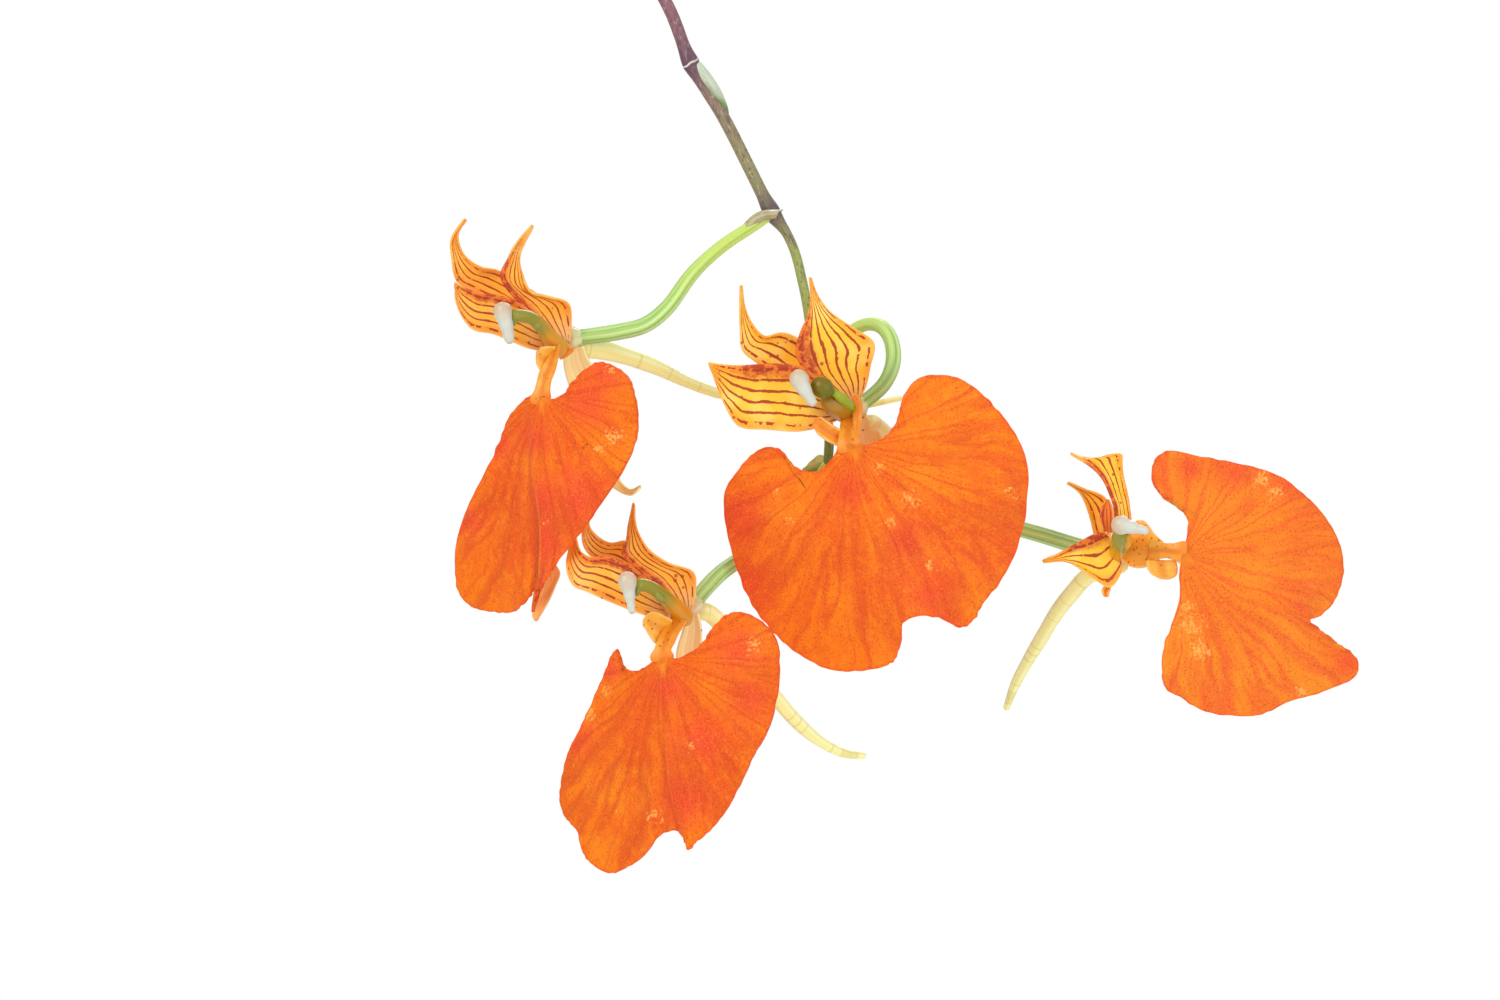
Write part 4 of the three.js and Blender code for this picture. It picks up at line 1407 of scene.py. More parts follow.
@dataclass(frozen=True)
class LipShape:
    """The broad blade of a lip, seen from the front, and the way it leans and folds in depth."""

    claw: Pair
    notch: Pair
    depth: float
    lean: float
    turn: float
    fold: float
    crease: float
    ruffle: float
    waves: int
    lobes: tuple[Lobe, Lobe]
    bow: float = 0.004
    step: float = 0.0
    # how strongly painted shade and a painted highlight are laid along the seam
    mark: float = 0.0
    # how strongly the whole lip is painted lighter with a painted glow
    painted_glow: float = 0.0
    seam: tuple[Pair, ...] = ()
    tail: tuple[Rung, ...] = ()
    # spots painted reddish, partly the lip's own colour and partly painted sheen and shade
    flush_and_sheen_spots: tuple[Spot, ...] = ()
    scuffs: tuple[Spot, ...] = ()


@dataclass(frozen=True)
class BloomShape:
    """The outlines and routes of one bloom."""

    heart: Stop
    pedicel: tuple[Stop, ...]
    spur: tuple[Stop, ...]
    spur_radii: tuple[float, ...]
    limb: tuple[Rung, ...]
    dorsal: tuple[Rung, ...]
    petal_right: tuple[Rung, ...]
    petal_left: tuple[Rung, ...]
    column: tuple[Strand, ...]
    anther: tuple[Stop, ...]
    anther_radii: tuple[float, ...]
    claw: tuple[Rung, ...]
    side_lobe: tuple[Rung, ...]
    wing: tuple[Rung, ...]
    lip: LipShape
    stripes: tuple[int, int, int]
    peachy: bool = False
    folds: tuple[tuple[Rung, ...], ...] = ()


LEFT_BLOOM = BloomShape(
    heart=(573, 338, -3),
    pedicel=(
        (771, 213, 0), (757, 223, -0.6), (721, 247, -2), (693, 273, -3), (666, 309, -4), (645, 325, -4),
        (618, 332, -3.6), (573, 338, -3),
    ),
    spur=(
        (574, 346, -2), (600, 349, -0.6), (653, 366, 2), (687, 382, 4), (721, 394, 6), (780, 405, 7.5),
        (840, 409, 7.6), (902, 398, 6.6),
    ),
    spur_radii=(1.5, 1.02, 0.7, 0.5, 0.42, 0.36), stripes=(5, 5, 4), peachy=True,
    limb=(
        (566, 347, 584, 346, -3.2), (563, 362, 588, 358, -2.2), (571, 394, 603, 381, -0.4),
        (583, 432, 612, 420, 0.6), (597, 462, 614, 455, 0.6), (608, 483, 619, 478, -1),
        (630, 496, 630, 489, -2.6), (641, 487, 640, 485, -4.2),
    ),
    dorsal=(
        (563, 341, 569, 331, -1.6), (531, 321, 546, 300, -1.6), (499, 304, 520, 283, -1.8),
        (474, 292, 498, 270, -2.1), (456, 281, 482, 267, -2.5), (452, 261, 464, 254, -3),
        (451, 240, 458, 234, -3.6), (465, 218, 467, 220, -4.6),
    ),
    petal_right=(
        (561, 341, 570, 342, -4.4), (541, 326, 572, 322, -5), (524, 309, 569, 303, -5.4),
        (507, 290, 549, 297, -5.6), (500, 274, 532, 293, -5.8), (507, 259, 523, 274, -5.8),
        (516, 243, 520, 256, -5.4), (532, 224, 534, 226, -4.4),
    ),
    petal_left=(
        (561, 341, 560, 349, -5.4), (532, 312, 534, 350, -7), (510, 298, 512, 342, -7.8),
        (492, 294, 492, 334, -8), (478, 292, 473, 330, -8), (467, 288, 461, 316, -7.6),
        (460, 285, 455, 298, -7), (455, 282, 455, 287, -6.4),
    ),
    column=(
        Strand(
            (
                (563, 352, -4.4), (554, 344, -6.4), (547, 334, -8.2), (540, 325, -9.6), (531, 318, -10.8),
                (521, 316, -11.8), (509, 316, -12.6),
            ),
            (1.2, 1.25, 1.1, 0.86, 0.76, 0.78, 0.82),
        ),
        Strand(((514, 311, -12.6), (514, 320, -12.4), (512, 327, -12)), (0.35, 0.42, 0.25), Hue.GREEN),
        Strand(((533, 322, -10.8), (538, 326, -10.2), (541, 331, -9.6)), (0.35, 0.5, 0.4), Hue.GREEN),
    ),
    anther=((501.5, 302.5, -12.4), (503, 313, -12.8), (507, 328, -12.8), (510.5, 344, -12.4)),
    anther_radii=(1.16, 1.1, 0.86, 0.68, 0.52),
    claw=(
        (554, 340, 560, 341, -6.8), (551.5, 351, 559, 352, -8.2), (546, 361, 557.5, 362, -9.2),
        (540, 371, 555, 372, -9.7), (537, 382, 551.5, 381, -10.2), (534.5, 391, 550, 390, -10.6),
        (530, 399, 551, 398, -10.7), (533, 404, 549, 404, -10.4),
    ),
    side_lobe=(
        (556, 346, 551, 370, -7.8), (548, 346, 545, 372, -8.6), (541, 347, 540, 370, -9),
        (536, 352, 536, 364, -8.8),
    ),
    wing=(
        (559, 338, 560, 360, -5.4), (565, 341, 565, 358, -5.6), (570, 346, 570, 354, -5.6),
        (573, 349, 573, 351, -5.2),
    ),
    lip=LipShape(
        claw=(543, 396), notch=(538, 586), depth=-10.7, lean=-0.04, turn=-0.85, fold=0.2, crease=1.6,
        ruffle=0.35, waves=9, step=0.8, mark=1.0,
        seam=(
            (534, 402), (530, 425), (531, 450), (534, 478), (540, 521), (540.5, 545), (539.5, 569),
            (537, 590),
        ),
        tail=(
            (549, 571, 556, 564.5, -6.6), (541, 586, 560.5, 573, -6.4), (537, 599, 556, 585, -6.4),
            (533, 609, 549, 601, -6.8), (532, 616, 542, 613, -7.2), (535, 621, 537, 621, -7.6),
        ),
        flush_and_sheen_spots=(
            (536, 440, 16), (548, 500, 22), (552, 545, 18), (575, 500, 30), (590, 400, 24),
            (606, 372, 20), (500, 445, 16), (470, 520, 14),
        ),
        scuffs=((612, 372, 7), (606, 370, 5), (615, 436, 12), (600, 448, 9), (547, 522, 5)),
        lobes=(
            Lobe(centre=(585, 445), edge=(
                (552, 399), (564, 394), (575, 380), (587, 368), (600, 362), (614, 366), (628, 377),
                (635, 396), (638, 424), (635, 444), (620, 475), (597, 509), (576, 539), (556, 564),
                (547, 578), (540, 591), (535.5, 603), (533, 612), (534, 602), (537, 589),
            )),
            Lobe(centre=(500, 540), edge=(
                (536, 587), (530, 596), (521, 606), (513, 612), (496, 612), (474, 607), (460, 593),
                (456, 568), (458, 540), (468, 509), (483, 478), (499, 444), (510, 417), (523, 402),
                (534, 395),
            )),
        ),
    ),
)

CENTRE_BLOOM = BloomShape(
    heart=(857, 408, -5),
    pedicel=(
        (821, 389, 2), (834, 360, 3.4), (852, 332, 3.4), (869, 324, 2), (882, 327, 0.6), (891, 340, -0.6),
        (893, 362, -2), (884, 384, -3.4), (857, 408, -5),
    ),
    spur=(
        (868, 420, -5.2), (880, 429, -2.6), (893, 441, 0.6), (908, 458, 5), (921, 480, 9.6),
        (932, 506, 14), (938, 534, 17.6), (938, 560, 20),
    ),
    spur_radii=(1.15, 0.95, 0.7, 0.45), stripes=(7, 6, 4),
    limb=(
        (855, 415, 866, 414, -5.4), (856, 428, 873, 424, -4.6), (858, 444, 882, 436, -3.4),
        (866, 480, 890, 476, -1), (870, 514, 890, 511, 0.6), (874, 546, 884, 545, 1),
        (879, 566, 882, 566, 0),
    ),
    dorsal=(
        (849, 409, 854, 400, -3.4), (815, 399, 829, 373, -3.4), (782, 382, 806, 343, -3.6),
        (756, 363, 783, 332, -3.8), (742, 350, 765, 336, -4), (740, 331, 751, 321, -4.2),
        (740, 310, 745, 305, -4.8), (740, 285, 742, 285, -6),
    ),
    petal_right=(
        (849, 404, 860, 400, -5.8), (827, 388, 867, 385, -6.8), (806, 372, 871, 366, -7.4),
        (795, 355, 875, 343, -7.8), (799, 334, 853, 327, -7.8), (807, 316, 830, 311, -7.4),
        (810, 298, 817, 293, -6.6), (809, 277, 812, 278, -5.2),
    ),
    petal_left=(
        (848, 408, 848, 416, -7.2), (825, 384, 819, 428, -9), (801, 366, 797, 432, -9.8),
        (778, 363, 768, 430, -10), (757, 364, 739, 427, -10), (738, 365, 727, 411, -9.6),
        (722, 364, 718, 390, -9), (708, 362, 711, 370, -8),
    ),
    column=(
        Strand(
            ((858, 418, -6.4), (848, 413, -8.4), (837, 406, -10.4), (824, 397, -12)),
            (1.1, 1.4, 1.46, 1.2),
            Hue.GOLD,
        ),
        Strand(((812, 381, -13), (822, 387.5, -13.2), (832, 394, -12.6)), (1.15, 1.26, 1.15), Hue.DARK),
        Strand(
            ((832, 391, -13), (839, 396, -12.6), (847, 403, -11.2), (854, 412, -9.2)),
            (0.45, 0.62, 0.6, 0.35),
            Hue.LIME,
        ),
    ),
    anther=((797, 370, -14.2), (799.5, 380, -14.6), (806, 392, -14.8), (815, 406, -14.4)),
    anther_radii=(1.14, 1.16, 0.86, 0.62, 0.5),
    claw=(
        (843, 408, 857, 406, -8.4), (841, 417, 859, 416, -9.6), (840, 427, 859, 427, -10.8),
        (839, 436, 857, 435, -11.9), (838, 443, 859, 441, -12.4), (837, 449, 861, 446, -12.5),
        (839, 453, 860, 450, -12.3),
    ),
    side_lobe=(
        (844, 431, 841, 447, -10.8), (834, 426, 833, 444, -11.2), (826, 420, 824, 439, -11.5),
        (820, 416.5, 817, 433, -11.6), (814, 419, 813, 427, -11.2),
    ),
    wing=(
        (852, 397, 858, 395, -9.4), (853, 406, 862, 405, -10.2), (853, 420, 861, 420, -11),
        (853, 434, 859, 434, -11.8), (853, 442, 858, 442, -12.2),
    ),
    lip=LipShape(
        claw=(853, 446), notch=(904, 622), depth=-12.3, lean=0.06, turn=-0.18, fold=0.26, crease=2,
        ruffle=0.4, waves=10, painted_glow=0.15,
        flush_and_sheen_spots=(
            (736, 520, 26), (745, 580, 22), (930, 595, 26), (905, 540, 20), (850, 490, 16),
            (945, 620, 16),
        ),
        scuffs=(
            (880, 468, 9), (910, 500, 12), (790, 522, 7), (775, 490, 6), (930, 565, 8), (1010, 490, 8),
            (835, 452, 5), (890, 520, 8),
        ),
        lobes=(
            Lobe(centre=(940, 490), edge=(
                (859, 444), (866, 445), (878, 441), (889, 433), (899, 416), (903, 397), (919, 378),
                (941, 375), (958, 378), (976, 389), (996, 408), (1013, 430), (1024, 452), (1028, 480),
                (1019, 542), (1001, 580), (983, 603), (974, 619), (962, 627), (936, 617), (919, 616),
            )),
            Lobe(centre=(825, 560), edge=(
                (904, 622), (900, 645), (894, 660), (885, 666), (856, 671), (829, 669), (810, 660),
                (790, 647), (769, 627), (750, 600), (736, 564), (727, 529), (725, 491), (736, 473),
                (752, 455), (766, 447), (779, 450), (790, 463), (804, 471), (818, 471), (832, 459),
                (838, 449),
            )),
        ),
    ),
)

LOWER_BLOOM = BloomShape(
    heart=(692, 606, -7),
    pedicel=(
        (829, 463, 2), (812, 490, 4), (786, 520, 3.4), (758, 546, 2), (736, 562, 0), (721, 573, -2),
        (706, 588, -4.6), (692, 606, -7),
    ),
    spur=(
        (697, 611, -6.4), (709, 613, -5.4), (724, 628, -5), (741, 652, -5), (759, 677, -4.4),
        (776, 698, -3), (795, 720, -1), (818, 740, 1.6), (843, 753, 4.6), (865, 756, 7.6),
    ),
    spur_radii=(1.15, 1.0, 0.95, 0.88, 0.62, 0.45), stripes=(5, 5, 4), peachy=True,
    limb=(
        (687, 612, 698, 611, -7.2), (682, 632, 702, 630, -6.8), (676, 656, 702, 650, -6),
        (682, 690, 706, 684, -4.6), (692, 722, 709, 717, -3.6), (704, 750, 711, 747, -3.6),
        (715, 766, 717, 764, -4.6),
    ),
    dorsal=(
        (684, 606, 689, 598, -5.6), (656, 590, 669, 574, -5.6), (630, 574, 647, 556, -5.8),
        (608, 563, 628, 541, -6), (593, 558, 612, 543, -6.4), (584, 547, 600, 538, -6.8),
        (582, 533, 591, 529, -7.4), (586, 520, 589, 521, -8.4),
    ),
    petal_right=(
        (683, 609, 692, 613, -8.2), (668, 597, 696, 592, -9), (651, 582, 694, 572, -9.4),
        (633, 566, 669, 563, -9.6), (621, 552, 650, 550, -9.8), (626, 541, 639, 533, -9.6),
        (628, 524, 635, 519, -9), (633, 502, 635, 504, -8),
    ),
    petal_left=(
        (682, 610, 681, 617, -9.4), (656, 587, 652, 617, -11.2), (636, 570, 629, 610, -12),
        (618, 559, 607, 601, -12.2), (604, 556, 587, 592, -12.2), (591, 557, 573, 586, -11.8),
        (581, 551, 566, 566, -11.2), (576, 537, 569, 545, -10.2),
    ),
    column=(
        Strand(
            (
                (688, 620, -8.2), (680, 614, -10), (671, 604, -11.8), (662, 595, -13.4),
                (652, 588, -14.8), (643, 585, -15.6), (633, 586, -16.4),
            ),
            (1.2, 1.3, 1.15, 0.92, 0.78, 0.78, 0.82),
        ),
        Strand(((638, 581, -16.4), (638, 589, -16.2), (636, 596, -15.8)), (0.35, 0.42, 0.25), Hue.GREEN),
        Strand(((655, 592, -15), (660, 597, -14.2), (663, 602, -13.4)), (0.35, 0.5, 0.4), Hue.GREEN),
    ),
    anther=((626, 572, -16.4), (627.5, 582, -16.8), (630, 598, -16.8), (632.5, 614, -16.4)),
    anther_radii=(1.14, 1.12, 0.72, 0.5, 0.42),
    claw=(
        (673, 609, 689, 617, -9.8), (668, 622, 685, 625, -11.4), (661, 634, 679, 634, -12.8),
        (657, 643, 675, 643, -13.8), (654, 650, 671, 651, -14.3), (650, 657, 674, 656, -14.6),
        (652, 662, 671, 661, -14.5),
    ),
    side_lobe=(
        (673, 620, 662, 646, -11.6), (664, 615, 657, 645, -12.2), (655, 611, 652, 640, -12.6),
        (648, 613, 647, 632, -12.6), (643, 619, 643, 626, -12.2),
    ),
    wing=(
        (679, 606, 681, 628, -9), (685, 610, 685, 625, -9.2), (690, 615, 689, 621, -9),
        (692, 617, 691, 619, -8.6),
    ),
    lip=LipShape(
        claw=(663, 659), notch=(676, 832), depth=-14.6, lean=-0.03, turn=-0.7, fold=0.16, crease=1.8,
        ruffle=0.35, waves=9, step=0.45, mark=0.4,
        seam=((659, 672), (662, 700), (665.5, 731), (669, 784), (677, 822)),
        flush_and_sheen_spots=(
            (690, 800, 24), (740, 650, 26), (700, 740, 24), (668, 690, 16), (610, 668, 12),
            (575, 740, 18), (750, 700, 24),
        ),
        scuffs=(
            (755, 645, 12), (590, 715, 10), (608, 690, 7), (690, 745, 8), (655, 815, 10), (625, 640, 4),
        ),
        lobes=(
            Lobe(centre=(706, 725), edge=(
                (668, 658), (678, 658), (690, 653), (703, 643), (713, 628), (726, 615), (739, 612),
                (759, 620), (773, 634), (779, 652), (778, 692), (769, 727), (754, 755), (741, 783),
                (726, 811), (709, 832), (696, 842), (689, 850), (683, 836),
            )),
            Lobe(centre=(620, 770), edge=(
                (678, 831), (662, 834), (640, 859), (624, 869), (611, 873), (593, 864), (583, 851),
                (578, 831), (569, 821), (561, 803), (562, 781), (568, 755), (581, 727), (594, 700),
                (605, 674), (611, 658), (617, 649), (623, 665), (630, 671), (642, 669), (654, 661),
            )),
        ),
    ),
)

RIGHT_BLOOM = BloomShape(
    heart=(1108, 552, -3),
    pedicel=(
        (829, 465, 2), (850, 483, 4.4), (885, 497, 5), (940, 509, 4.4), (990, 521, 2.6), (1024, 530, 1),
        (1045, 536, 0), (1078, 546, -1.4), (1108, 552, -3),
    ),
    spur=(
        (1128, 562, -1.9), (1109, 568, -1), (1088, 576, -0.2), (1072, 593, 1.4), (1057, 612, 3.6),
        (1042, 637, 6.6), (1027, 662, 10), (1015, 685, 14), (1006, 709, 18.6),
    ),
    spur_radii=(1.15, 1.02, 0.88, 0.7, 0.44), stripes=(4, 4, 3),
    folds=(
        (
            (1105, 500, 1109, 499, -5.4), (1101, 510, 1113, 509, -6), (1100, 520, 1114, 521, -6.2),
            (1103, 531, 1113, 533, -6),
        ),
        ((1107, 584, 1111, 587, -5.4), (1102, 590, 1109, 593, -5.6), (1105, 597, 1108, 597, -5.4)),
    ),
    limb=(
        (1114, 558, 1110, 546, -2), (1136, 564, 1137, 548, -1.8), (1164, 557, 1168, 545, -2.6),
        (1198, 574, 1200, 552, -3.6), (1230, 582, 1232, 566, -4), (1258, 577, 1259, 571, -3.4),
    ),
    dorsal=(
        (1106, 556, 1108, 546, -1.4), (1094, 535, 1113, 516, -0.6), (1090, 518, 1107, 499, 0),
        (1084, 501, 1097, 493, 0), (1078, 491, 1084, 489, -0.4), (1067, 484, 1068, 482, -1.4),
    ),
    petal_right=(
        (1108, 545, 1117, 546, -4.2), (1114, 529, 1131, 527, -5), (1114, 509, 1130, 507, -5.6),
        (1109, 494, 1127, 491, -6), (1102, 479, 1124, 476, -6.2), (1094, 470, 1122.5, 464, -6.4),
        (1086, 464, 1121.5, 453.5, -6.2), (1079, 459, 1098, 459.5, -5.8), (1070, 453, 1074, 456, -5),
    ),
    petal_left=(
        (1111, 549, 1118, 556, -4.6), (1103, 531, 1122, 571, -5.8), (1091, 535, 1110, 588, -6.2),
        (1080, 541, 1094, 579, -6.4), (1067, 548, 1080, 569, -6.4), (1055, 555, 1065, 562, -6),
        (1042, 560, 1043, 563, -5.2),
    ),
    column=(
        Strand(
            ((1116, 560, -3.6), (1119, 550, -6.4), (1120, 540, -9.4), (1121, 529, -11.8)),
            (1.0, 1.15, 1.05, 0.9),
        ),
        Strand(((1128, 534, -11.4), (1128, 542, -10), (1123, 552, -8)), (0.35, 0.55, 0.35), Hue.OLIVE),
    ),
    anther=((1112, 522, -12.4), (1121, 525, -12.8), (1134, 528, -13), (1149, 532, -12.6)),
    anther_radii=(1.16, 1.18, 0.8, 0.52, 0.44),
    claw=(
        (1147, 563, 1150, 540, -8.4), (1157, 560, 1158, 541, -9), (1167, 558, 1166, 543, -9.7),
        (1175, 560, 1175, 543, -10.2), (1181, 562, 1183, 541, -10.4), (1185, 562, 1187, 542, -10.3),
    ),
    side_lobe=(
        (1176, 560, 1146, 560, -8.6), (1178, 568, 1147, 568, -8.6), (1177, 575, 1151, 574, -8.4),
        (1171, 579, 1160, 579, -8),
    ),
    wing=(
        (1120, 556, 1124, 528, -6.6), (1130, 567, 1134, 521, -7.4), (1145, 568, 1144, 520, -8),
        (1157, 561, 1155, 534, -8.8), (1165, 557, 1165, 543, -9.4),
    ),
    lip=LipShape(
        claw=(1181, 556), notch=(1308, 621), depth=-10.2, lean=0.3, turn=0.12, fold=0.42, crease=2,
        ruffle=0.4, waves=9, step=0.3, mark=0.25, painted_glow=0.5,
        seam=((1240, 572), (1268, 592), (1292, 610), (1308, 619)),
        flush_and_sheen_spots=((1230, 466, 22), (1190, 468, 16), (1290, 480, 20), (1345, 665, 14)),
        scuffs=(
            (1191, 624, 19), (1199, 650, 15), (1186, 606, 11), (1260, 480, 14), (1275, 492, 12),
            (1300, 690, 8), (1208, 650, 8),
        ),
        lobes=(
            Lobe(centre=(1250, 520), edge=(
                (1184, 549), (1188, 533), (1187, 517), (1176, 505), (1163, 496), (1154, 484), (1152, 469),
                (1157, 457), (1168, 451), (1201, 457), (1229, 462), (1259, 469), (1278, 476), (1298, 490),
                (1314, 505), (1329, 524), (1339, 545), (1343, 568), (1340, 586), (1333, 602), (1321, 615),
            )),
            Lobe(centre=(1232, 640), edge=(
                (1309, 621), (1323, 632), (1339, 645), (1352, 654), (1358, 665), (1355, 676), (1338, 685),
                (1313, 694), (1288, 701), (1269, 711), (1249, 716), (1214, 713), (1194, 706), (1179, 696),
                (1166, 689), (1162, 671), (1164, 646), (1174, 619), (1180, 597), (1180, 572),
            )),
        ),
    ),
)


class Bloom(Enum):
    """The four blooms on the spike."""

    LEFT = "left"
    CENTRE = "centre"
    LOWER = "lower"
    RIGHT = "right"


BLOOM_SHAPES = dict(zip(Bloom, (LEFT_BLOOM, CENTRE_BLOOM, LOWER_BLOOM, RIGHT_BLOOM)))


# Sub-assemblies


@dataclass
class LipBlade:
    """The two-lobed blade of a lip: a thin sheet that billows, with pleats along its veins."""

    name: str
    shape: LipShape
    seed: int
    finish: Material
    back: Material
    per_point: int = 12
    rings: int = 18
    thickness: float = 0.4
    pleat: float = 0.1
    pleats: int = 17
    billow: float = 0.42
    frill: float = 0.16
    frills: int = 31
    notches: float = 0.09
    rib: float = 0.3

    def outline(self) -> tuple[Points, Points, Shares]:
        """Follows the rim and the spine that the rings spread from.

        Returns:
            The rim's points, the spine's points, and the turn of each, from 0 to 1.
        """
        first, second = (lobe.edge for lobe in self.shape.lobes)
        corners = len(first) + len(second)
        turns = np.arange(corners * self.per_point + 1) / (corners * self.per_point)
        rim = smooth_run(flat(first + second), turns, closed=True)
        centres = [flat([lobe.centre])[0] for lobe in self.shape.lobes]
        middle = (centres[0] + centres[1]) / 2
        place = turns * corners
        on_first = place < len(first)
        share = np.where(on_first, place / (len(first) - 1), (place - len(first)) / (len(second) - 1))
        pull = np.sin(math.pi * np.clip(share, 0, 1))[:, None]
        goal = np.where(on_first[:, None], centres[0], centres[1])
        return rim, middle + (goal - middle) * pull, turns

    def from_claw(self, points: Points) -> tuple[np.ndarray, np.ndarray]:
        """Measures places in millimetres across and down from the claw towards the notch.

        Args:
            points: Places in the front view, in metres.

        Returns:
            The two distances of each.
        """
        claw, notch = flat([self.shape.claw, self.shape.notch])
        down = unit(notch - claw)
        out = (points - claw) / MM
        return out @ np.array([-down[1], down[0]]), out @ down

    def depth(self, points: Points, share: Shares, turn: np.ndarray) -> np.ndarray:
        """Works out how far back the blade lies.

        Args:
            points: Places in the front view, in metres.
            share: How far out each is, from the spine to the rim.
            turn: Its turn round the rim, in radians.

        Returns:
            Depths in metres.
        """
        lip = self.shape
        u, v = self.from_claw(points)
        ridge = np.hypot(u, lip.crease) - lip.crease
        deep = lip.depth + lip.lean * v + lip.bow * v * v + lip.turn * u + lip.fold * ridge
        deep += lip.ruffle * share**3 * np.sin(lip.waves * turn)
        fan, reach = np.arctan2(u, v), np.hypot(u, v)
        sway = Swell(self.seed, 12.0).at(points[:, 0] / MM, points[:, 1] / MM)
        deep += self.billow * sway * smooth_step(2, 12, reach)
        spread = smooth_step(3, 14, reach)
        deep += self.pleat * spread * np.sin(self.pleats * fan + 1.3 * sway) * (1 - 0.4 * share)
        deep += self.frill * share**5 * np.sin(self.frills * turn + 2 * sway)
        aside, along = self.beside(points)
        risen = smooth_step(-0.2, 0.2, aside) * smooth_step(7, 2.5, aside)
        deep -= lip.step * risen * smooth_step(0, 0.25, along) * smooth_step(1, 0.85, along)
        deep -= self.rib * hump(u, 0.7) * smooth_step(3.2, 0.5, v)
        return deep * MM

    def build(self) -> Piece:
        """Models the blade, with a map of turn and reach about the claw for its veins.

        Returns:
            The closed blade.
        """
        rim, spine, turns = self.outline()
        sectors = len(turns) - 1
        rim = rim + self.notched(rim, turns)
        found: dict[str, Points] = {}

        def place(u: Shares, v: Shares) -> Points:
            """Finds the points of one sector after another.

            Args:
                u: Shares across the grid.
                v: Shares along it.

            Returns:
                One point for each pair of shares.
            """
            sector = np.rint(u * sectors).astype(int)
            points = spine[sector] + (rim[sector] - spine[sector]) * v[:, None]
            found["flat"] = points
            return in_view(points[:, 0], points[:, 1], self.depth(points, v, TURN * turns[sector]))

        piece = lay_grid(self.name, sectors, self.rings, place)
        points = found["flat"]
        across, down = self.from_claw(points)
        reach = np.hypot(across, down)
        fan = np.arctan2(across, np.where(reach < 0.05, 1.0, down))
        add_map(piece, "Veins", np.column_stack([fan, reach / 10]))
        aside, along = self.beside(points)
        values = {
            "Scuff": self.spotted(points, self.shape.scuffs),
            # reddish spots, partly own colour and partly painted sheen and shade
            "FlushAndSheen": self.spotted(points, self.shape.flush_and_sheen_spots),
            "Aside": aside,
            # strength of the painted seam shade and highlight, rising along the seam
            "SeamShading": self.shape.mark * smooth_step(0.3, 0.6, along),
            # strength of the painted glow, the same over the whole blade
            "PaintedGlow": np.full(len(aside), self.shape.painted_glow),
        }
        for name, numbers in values.items():
            add_values(piece, name, numbers)
        close_seams(piece)
        face_towards(piece, (0, -1, 0))
        thicken(piece, self.thickness, 0)
        dress(piece, self.finish, self.back)
        return piece

    def notched(self, rim: Points, turns: Shares) -> Points:
        """Finds the small in and out moves that leave the rim finely toothed.

        Args:
            rim: The smooth rim's points.
            turns: The turn of each, from 0 to 1.

        Returns:
            One move for each point.
        """
        along = np.roll(rim, -1, axis=0) - np.roll(rim, 1, axis=0)
        outward = unit(np.column_stack([along[:, 1], -along[:, 0]]))
        still = np.zeros_like(turns)
        tooth = Swell(self.seed + 40, 0.011, 7).at(turns, still)
        soft = Swell(self.seed + 41, 0.05, 4).at(turns, still)
        size = self.notches * MM * (tooth * (0.6 + 0.4 * soft))
        size[-1] = size[0]
        return outward * size[:, None]

    def spotted(self, points: Points, spots: Sequence[Spot]) -> np.ndarray:
        """Marks soft round spots of the blade, from 0 outside them to 1 in their middles.

        Args:
            points: Places in the front view, in metres.
            spots: The spots.

        Returns:
            One number for each place.
        """
        total = np.zeros(len(points))
        for across, down, radius in spots:
            away = np.linalg.norm(points - flat([(across, down)])[0], axis=1)
            total = np.maximum(total, hump(away, radius * UNIT))
        return total

    def beside(self, points: Points) -> tuple[np.ndarray, Shares]:
        """Measures how far places lie from the blade's seam, where one lobe stands before the other.

        Args:
            points: Places in the front view, in metres.

        Returns:
            Their distances in millimetres, positive on the right lobe, and their shares of the seam.
        """
        best = np.full(len(points), 99.0)
        signed, share = best.copy(), best * 0
        line = flat(self.shape.seam) if self.shape.seam else np.zeros((0, 2))
        for number, (start, stop) in enumerate(zip(line[:-1], line[1:])):
            run = stop - start
            reach = np.clip((points - start) @ run / (run @ run), 0, 1)
            gap = points - start - reach[:, None] * run
            away = np.linalg.norm(gap, axis=1) / MM
            side = np.sign(gap[:, 1] * run[0] - gap[:, 0] * run[1])
            nearer = away < best
            signed = np.where(nearer, away * side, signed)
            share = np.where(nearer, (number + reach) / (len(line) - 1), share)
            best = np.minimum(best, away)
        return signed, share


PEACH = {
    "ground": (251, 180, 58), "rim": (243, 144, 50), "base": (255, 210, 150), "pale": (255, 204, 108),
}


